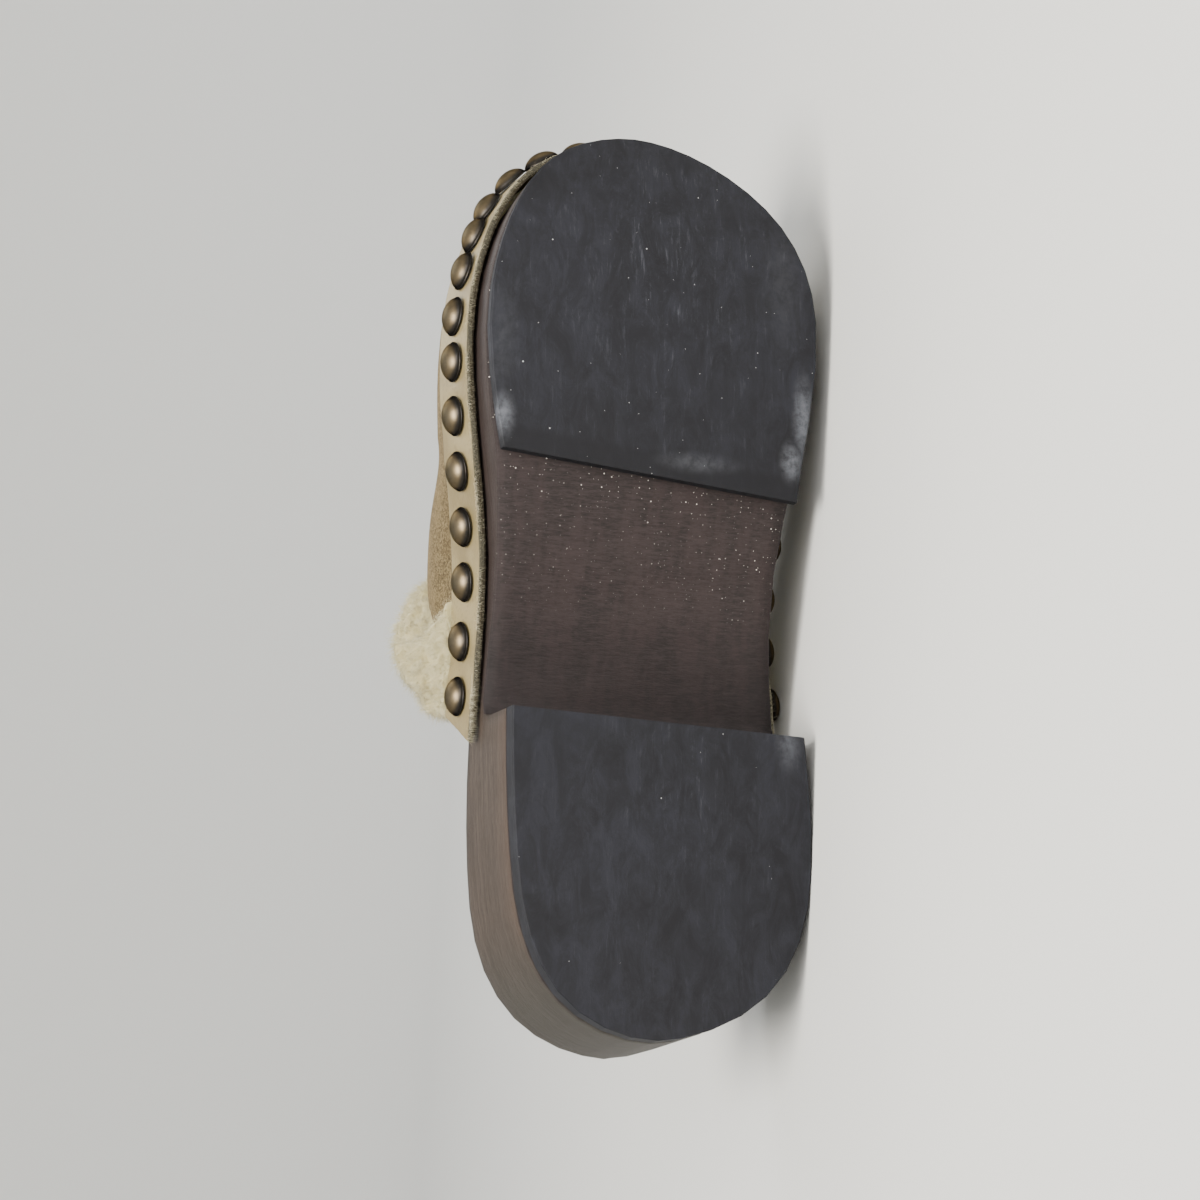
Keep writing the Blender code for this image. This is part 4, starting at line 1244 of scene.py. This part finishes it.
def woodFinish():
    # stained dark: short strokes across the waist, level grain on the walls, painted light on the heel
    s = Shader("stained_wood")
    place = s.shoe()
    x, y, z = s.apart(place)
    _, _, upwards = s.facing()
    # painted shade: faces turned down take the darker under colour
    under = (0 - upwards).between(0.35, 0.7)
    above = upwards.between(0.5, 0.8)
    across = s.stretched(place, (1.5, 0.22, 0.5), turn=(0.0, 0.0, 0.09))
    stripe = s.noise(across, 1.0, 4.0, 0.74, 0.3)
    acrossFine = s.stretched(place, (3.2, 0.6, 1.0), (5.0, 2.0, 0.0), (0.0, 0.0, 0.05))
    stripeFine = s.noise(acrossFine, 1.0, 3.0, 0.7)
    streak = s.noise(s.stretched(place, (0.03, 0.2, 0.1), (1.0, 4.0, 0.0)), 1.0, 5.0, 0.65, 0.3)
    level = s.noise(s.stretched(place, (0.035, 0.035, 0.55)), 1.0, 5.0, 0.75, 0.5)
    levelFine = s.noise(s.stretched(place, (0.3, 0.3, 2.2), (3.0, 1.0, 2.0)), 1.0, 4.0, 0.75)
    broad = s.noise(place, 0.03, 4.0, 0.6)
    walls = (level * 0.5 + levelFine * 0.5).between(0.33, 0.67)
    bottom = (stripe * 0.6 + stripeFine * 0.4).between(0.36, 0.68)
    # painted light on the heel's walls, painted shade on the walls ahead of the heel
    heelish = 1 - x.between(84.0, 96.0)
    wallColour = s.mix(heelish, s.mix(walls, *woodLook["front"]), s.mix(walls, *woodLook["heel"]))
    wallColour = s.mix(broad.between(0.4, 0.7) * 0.45, wallColour, woodLook["stain"])
    # the heel turns warmer low on its sides, and greyer and darker at its back
    warmLowSides = heelish * (1 - z.between(8.0, 24.0)) * x.between(14.0, 34.0) * broad.between(0.3, 0.6)
    wallColour = s.mix(warmLowSides * 0.25, wallColour, woodLook["warm"])
    wallColour = s.mix((1 - x.between(4.0, 34.0)) * 0.7, wallColour, woodLook["grey"])
    # under the waist, stain gathers in streaks along the shoe; towards the heel it darkens with painted
    # shade
    underColour = s.mix(bottom, *woodLook["under"])
    underColour = s.mix(streak.between(0.42, 0.62) * 0.35, underColour, woodLook["streak"])
    underColour = s.mix((1 - x.between(88.0, 130.0)) * 0.45, underColour, woodLook["deep"])
    colour = s.mix(under, wallColour, underColour)
    colour = s.mix(above, colour, s.mix(walls, *woodLook["footbed"]))
    # dust lies in clusters, most of it by the pad's edge and on the outer side
    slope, padEdge, _ = rubberLook["pad"]["strip"]
    byPad = (x + y * slope - padEdge).between(-16.0, -3.0)
    outer = x.between(108.0, 138.0) * y.between(0.0, 38.0)
    cluster = s.noise(place, 0.11, 2.0).between(0.44, 0.6)
    dusty = byPad.most(outer * 0.8) * cluster + x.between(112.0, 130.0) * 0.2
    fineDust = specks(s, s.shifted(place, (11.0, 5.0, 0.0)), 0.7, 0.12, 0.3)
    motes = specks(s, place, 0.36, 0.24, 0.34).most(fineDust)
    colour = s.mix(motes * under * dusty.clipped(), colour, woodLook["dust"])
    height = walls * (1 - under) + bottom * under * 0.8
    # the walls' flat faces flow into each other
    eased = s.node("Bevel", {"samples": 4}, {"Radius": woodLook["ease"]})
    return s.finish(
        colour=colour, roughness=0.6 - 0.1 * walls + 0.06 * under, specular=0.2,
        normal=s.bump(height, 0.00012, 0.6, eased),
    )


insoleLook = {
    "pale": srgb(168, 136, 100),
    "deep": srgb(150, 118, 84),
    "pore": srgb(122, 94, 66),
}


def insoleFinish():
    # smooth tan leather: broad noise moves it between two tans, and fine noise darkens its pores
    s = Shader("tan_insole")
    place = s.shoe()
    broad = s.noise(place, 0.03, 4.0, 0.6)
    grain = s.cells(place, 1.1, feature="SMOOTH_F1")
    fine = s.noise(place, 2.0, 4.0, 0.65)
    colour = s.mix(broad.between(0.35, 0.7), insoleLook["pale"], insoleLook["deep"])
    colour = s.mix(fine.between(0.5, 0.8) * 0.3, colour, insoleLook["pore"])
    return s.finish(
        colour=colour, roughness=0.5 + 0.1 * fine, specular=0.4,
        normal=s.bump(grain * 0.6 + fine * 0.4, 0.00015, 0.6),
    )


studio = {
    "floor": (0.70, 0.70, 0.685),
    # the floor is level to the first radius and has turned up into a wall at the second
    "level": 1.15,
    "wall": 1.75,
    "tall": 2.2,
    "sky": (0.86, 0.88, 0.90),
    "skyPower": 0.84,
    # name, place in metres, aimed at the shoe, width, watts, colour
    "lamps": [
        ("key", (-0.15, -0.62, 1.0), 0.68, 24.0, (1.0, 0.955, 0.87)),
        ("front", (0.3, -1.45, 0.6), 0.9, 15.0, (1.0, 0.98, 0.95)),
        ("back", (0.8, 1.1, 1.2), 0.9, 8.0, (0.96, 0.98, 1.0)),
    ],
    # camera: eye and aim on the standing shoe in millimetres, the way up in the picture, and the lens
    "eye": (10.8, -146.6, -534.4),
    "aim": (118.8, -10.7, 10.0),
    "up": (0.978, -0.071, -0.195),
    "lens": 62.0,
    "sensor": 36.0,
}


def makeFloor():
    # a level disc that turns up into a round wall, so that every view has the same plain ground
    level, wall = studio["level"], studio["wall"]
    bend = wall - level
    turn = np.linspace(0, np.pi / 2, 24)
    radius = np.concatenate([[0.0, 0.5 * level], level + bend * np.sin(turn), [wall]])
    height = np.concatenate([[0.0, 0.0], bend * (1 - np.cos(turn)), [studio["tall"]]])
    angle = np.linspace(0, 2 * np.pi, 96, endpoint=False)
    radius, height, angle = np.broadcast_arrays(radius[:, None], height[:, None], angle[None])
    grid = np.stack([radius * np.cos(angle), radius * np.sin(angle), height], axis=-1)
    floor = putMesh("floor", grid.reshape(-1, 3), quadsOf(*grid.shape[:2], True))
    tidyMesh(floor, outward=False)
    paint = Shader("pale_floor").finish(colour=studio["floor"], roughness=0.9, specular=0.1)
    floor.data.materials.append(paint)


def aimed(thing, place, target, up=(0.0, 0.0, 1.0)):
    back = (Vector(place) - Vector(target)).normalized()
    right = Vector(up).cross(back).normalized()
    turned = Matrix((right, back.cross(right), back)).transposed().to_4x4()
    thing.matrix_world = Matrix.Translation(place) @ turned


def makeLights():
    world = bpy.data.worlds.new("studio")
    world.use_nodes = True
    world.node_tree.nodes["Background"].inputs["Color"].default_value = (*studio["sky"], 1.0)
    world.node_tree.nodes["Background"].inputs["Strength"].default_value = studio["skyPower"]
    bpy.context.scene.world = world
    for name, place, width, watts, colour in studio["lamps"]:
        lamp = bpy.data.lights.new(name, "AREA")
        lamp.shape, lamp.size, lamp.energy, lamp.color = "DISK", width, watts, colour
        thing = bpy.data.objects.new(name, lamp)
        bpy.context.scene.collection.objects.link(thing)
        thing.visible_camera = False
        aimed(thing, place, (0.0, 0.0, 0.05))


def makeCamera():
    camera = bpy.data.objects.new("camera", bpy.data.cameras.new("camera"))
    camera.data.lens = studio["lens"]
    camera.data.sensor_width = studio["sensor"]
    camera.data.clip_start = 0.01
    bpy.context.scene.collection.objects.link(camera)
    aimed(camera, laid(studio["eye"]), laid(studio["aim"]), np.array(studio["up"]) @ shoeAxes)
    bpy.context.scene.camera = camera


chance = np.random.default_rng(wool["seed"])
makeCamera()
makeLights()
makeFloor()
print("studio ready")

face = vampFace(vamp["ribs"], vamp["stepsUp"], vamp["hemRows"])
normal = gridNormals(face)
seats = nailSeats()
settle(makeVamp(face, normal), suedeFinish(), "suede", "upper")
print("suede vamp made")
curly = woolFinish()
for piece in makeLining(face, normal, chance):
    settle(piece, curly, "wool")
print("curly lining made")
settle(makeBand(seats), bandFinish(), "cream_leather", "band")
settle(makeFibres(chance), fibreFinish(), "cream_leather")
print("band and its fibres made")
body, *curled = makeCuff(chance)
settle(body, curly, "wool", "wool_cuff")
for piece in curled:
    settle(piece, curly, "wool")
print("wool cuff made")
studs = [f"stud_{number:02d}" for number in range(1, nail["count"] + 1)]
settle(makeNails(seats), metalFinish(), "aged_brass", *studs)
print("nail heads made")

for node, finish in (
    ("wooden_base", woodFinish()),
    ("heel_lift", rubberFinish("heel_rubber", rubberLook["lift"])),
    ("forefoot_pad", rubberFinish("pad_rubber", rubberLook["pad"])),
    ("insole", insoleFinish()),
):
    solid = frame["nodes"][node].data
    solid.materials.clear()
    solid.materials.append(finish)
print("finishes on the carved and moulded parts")
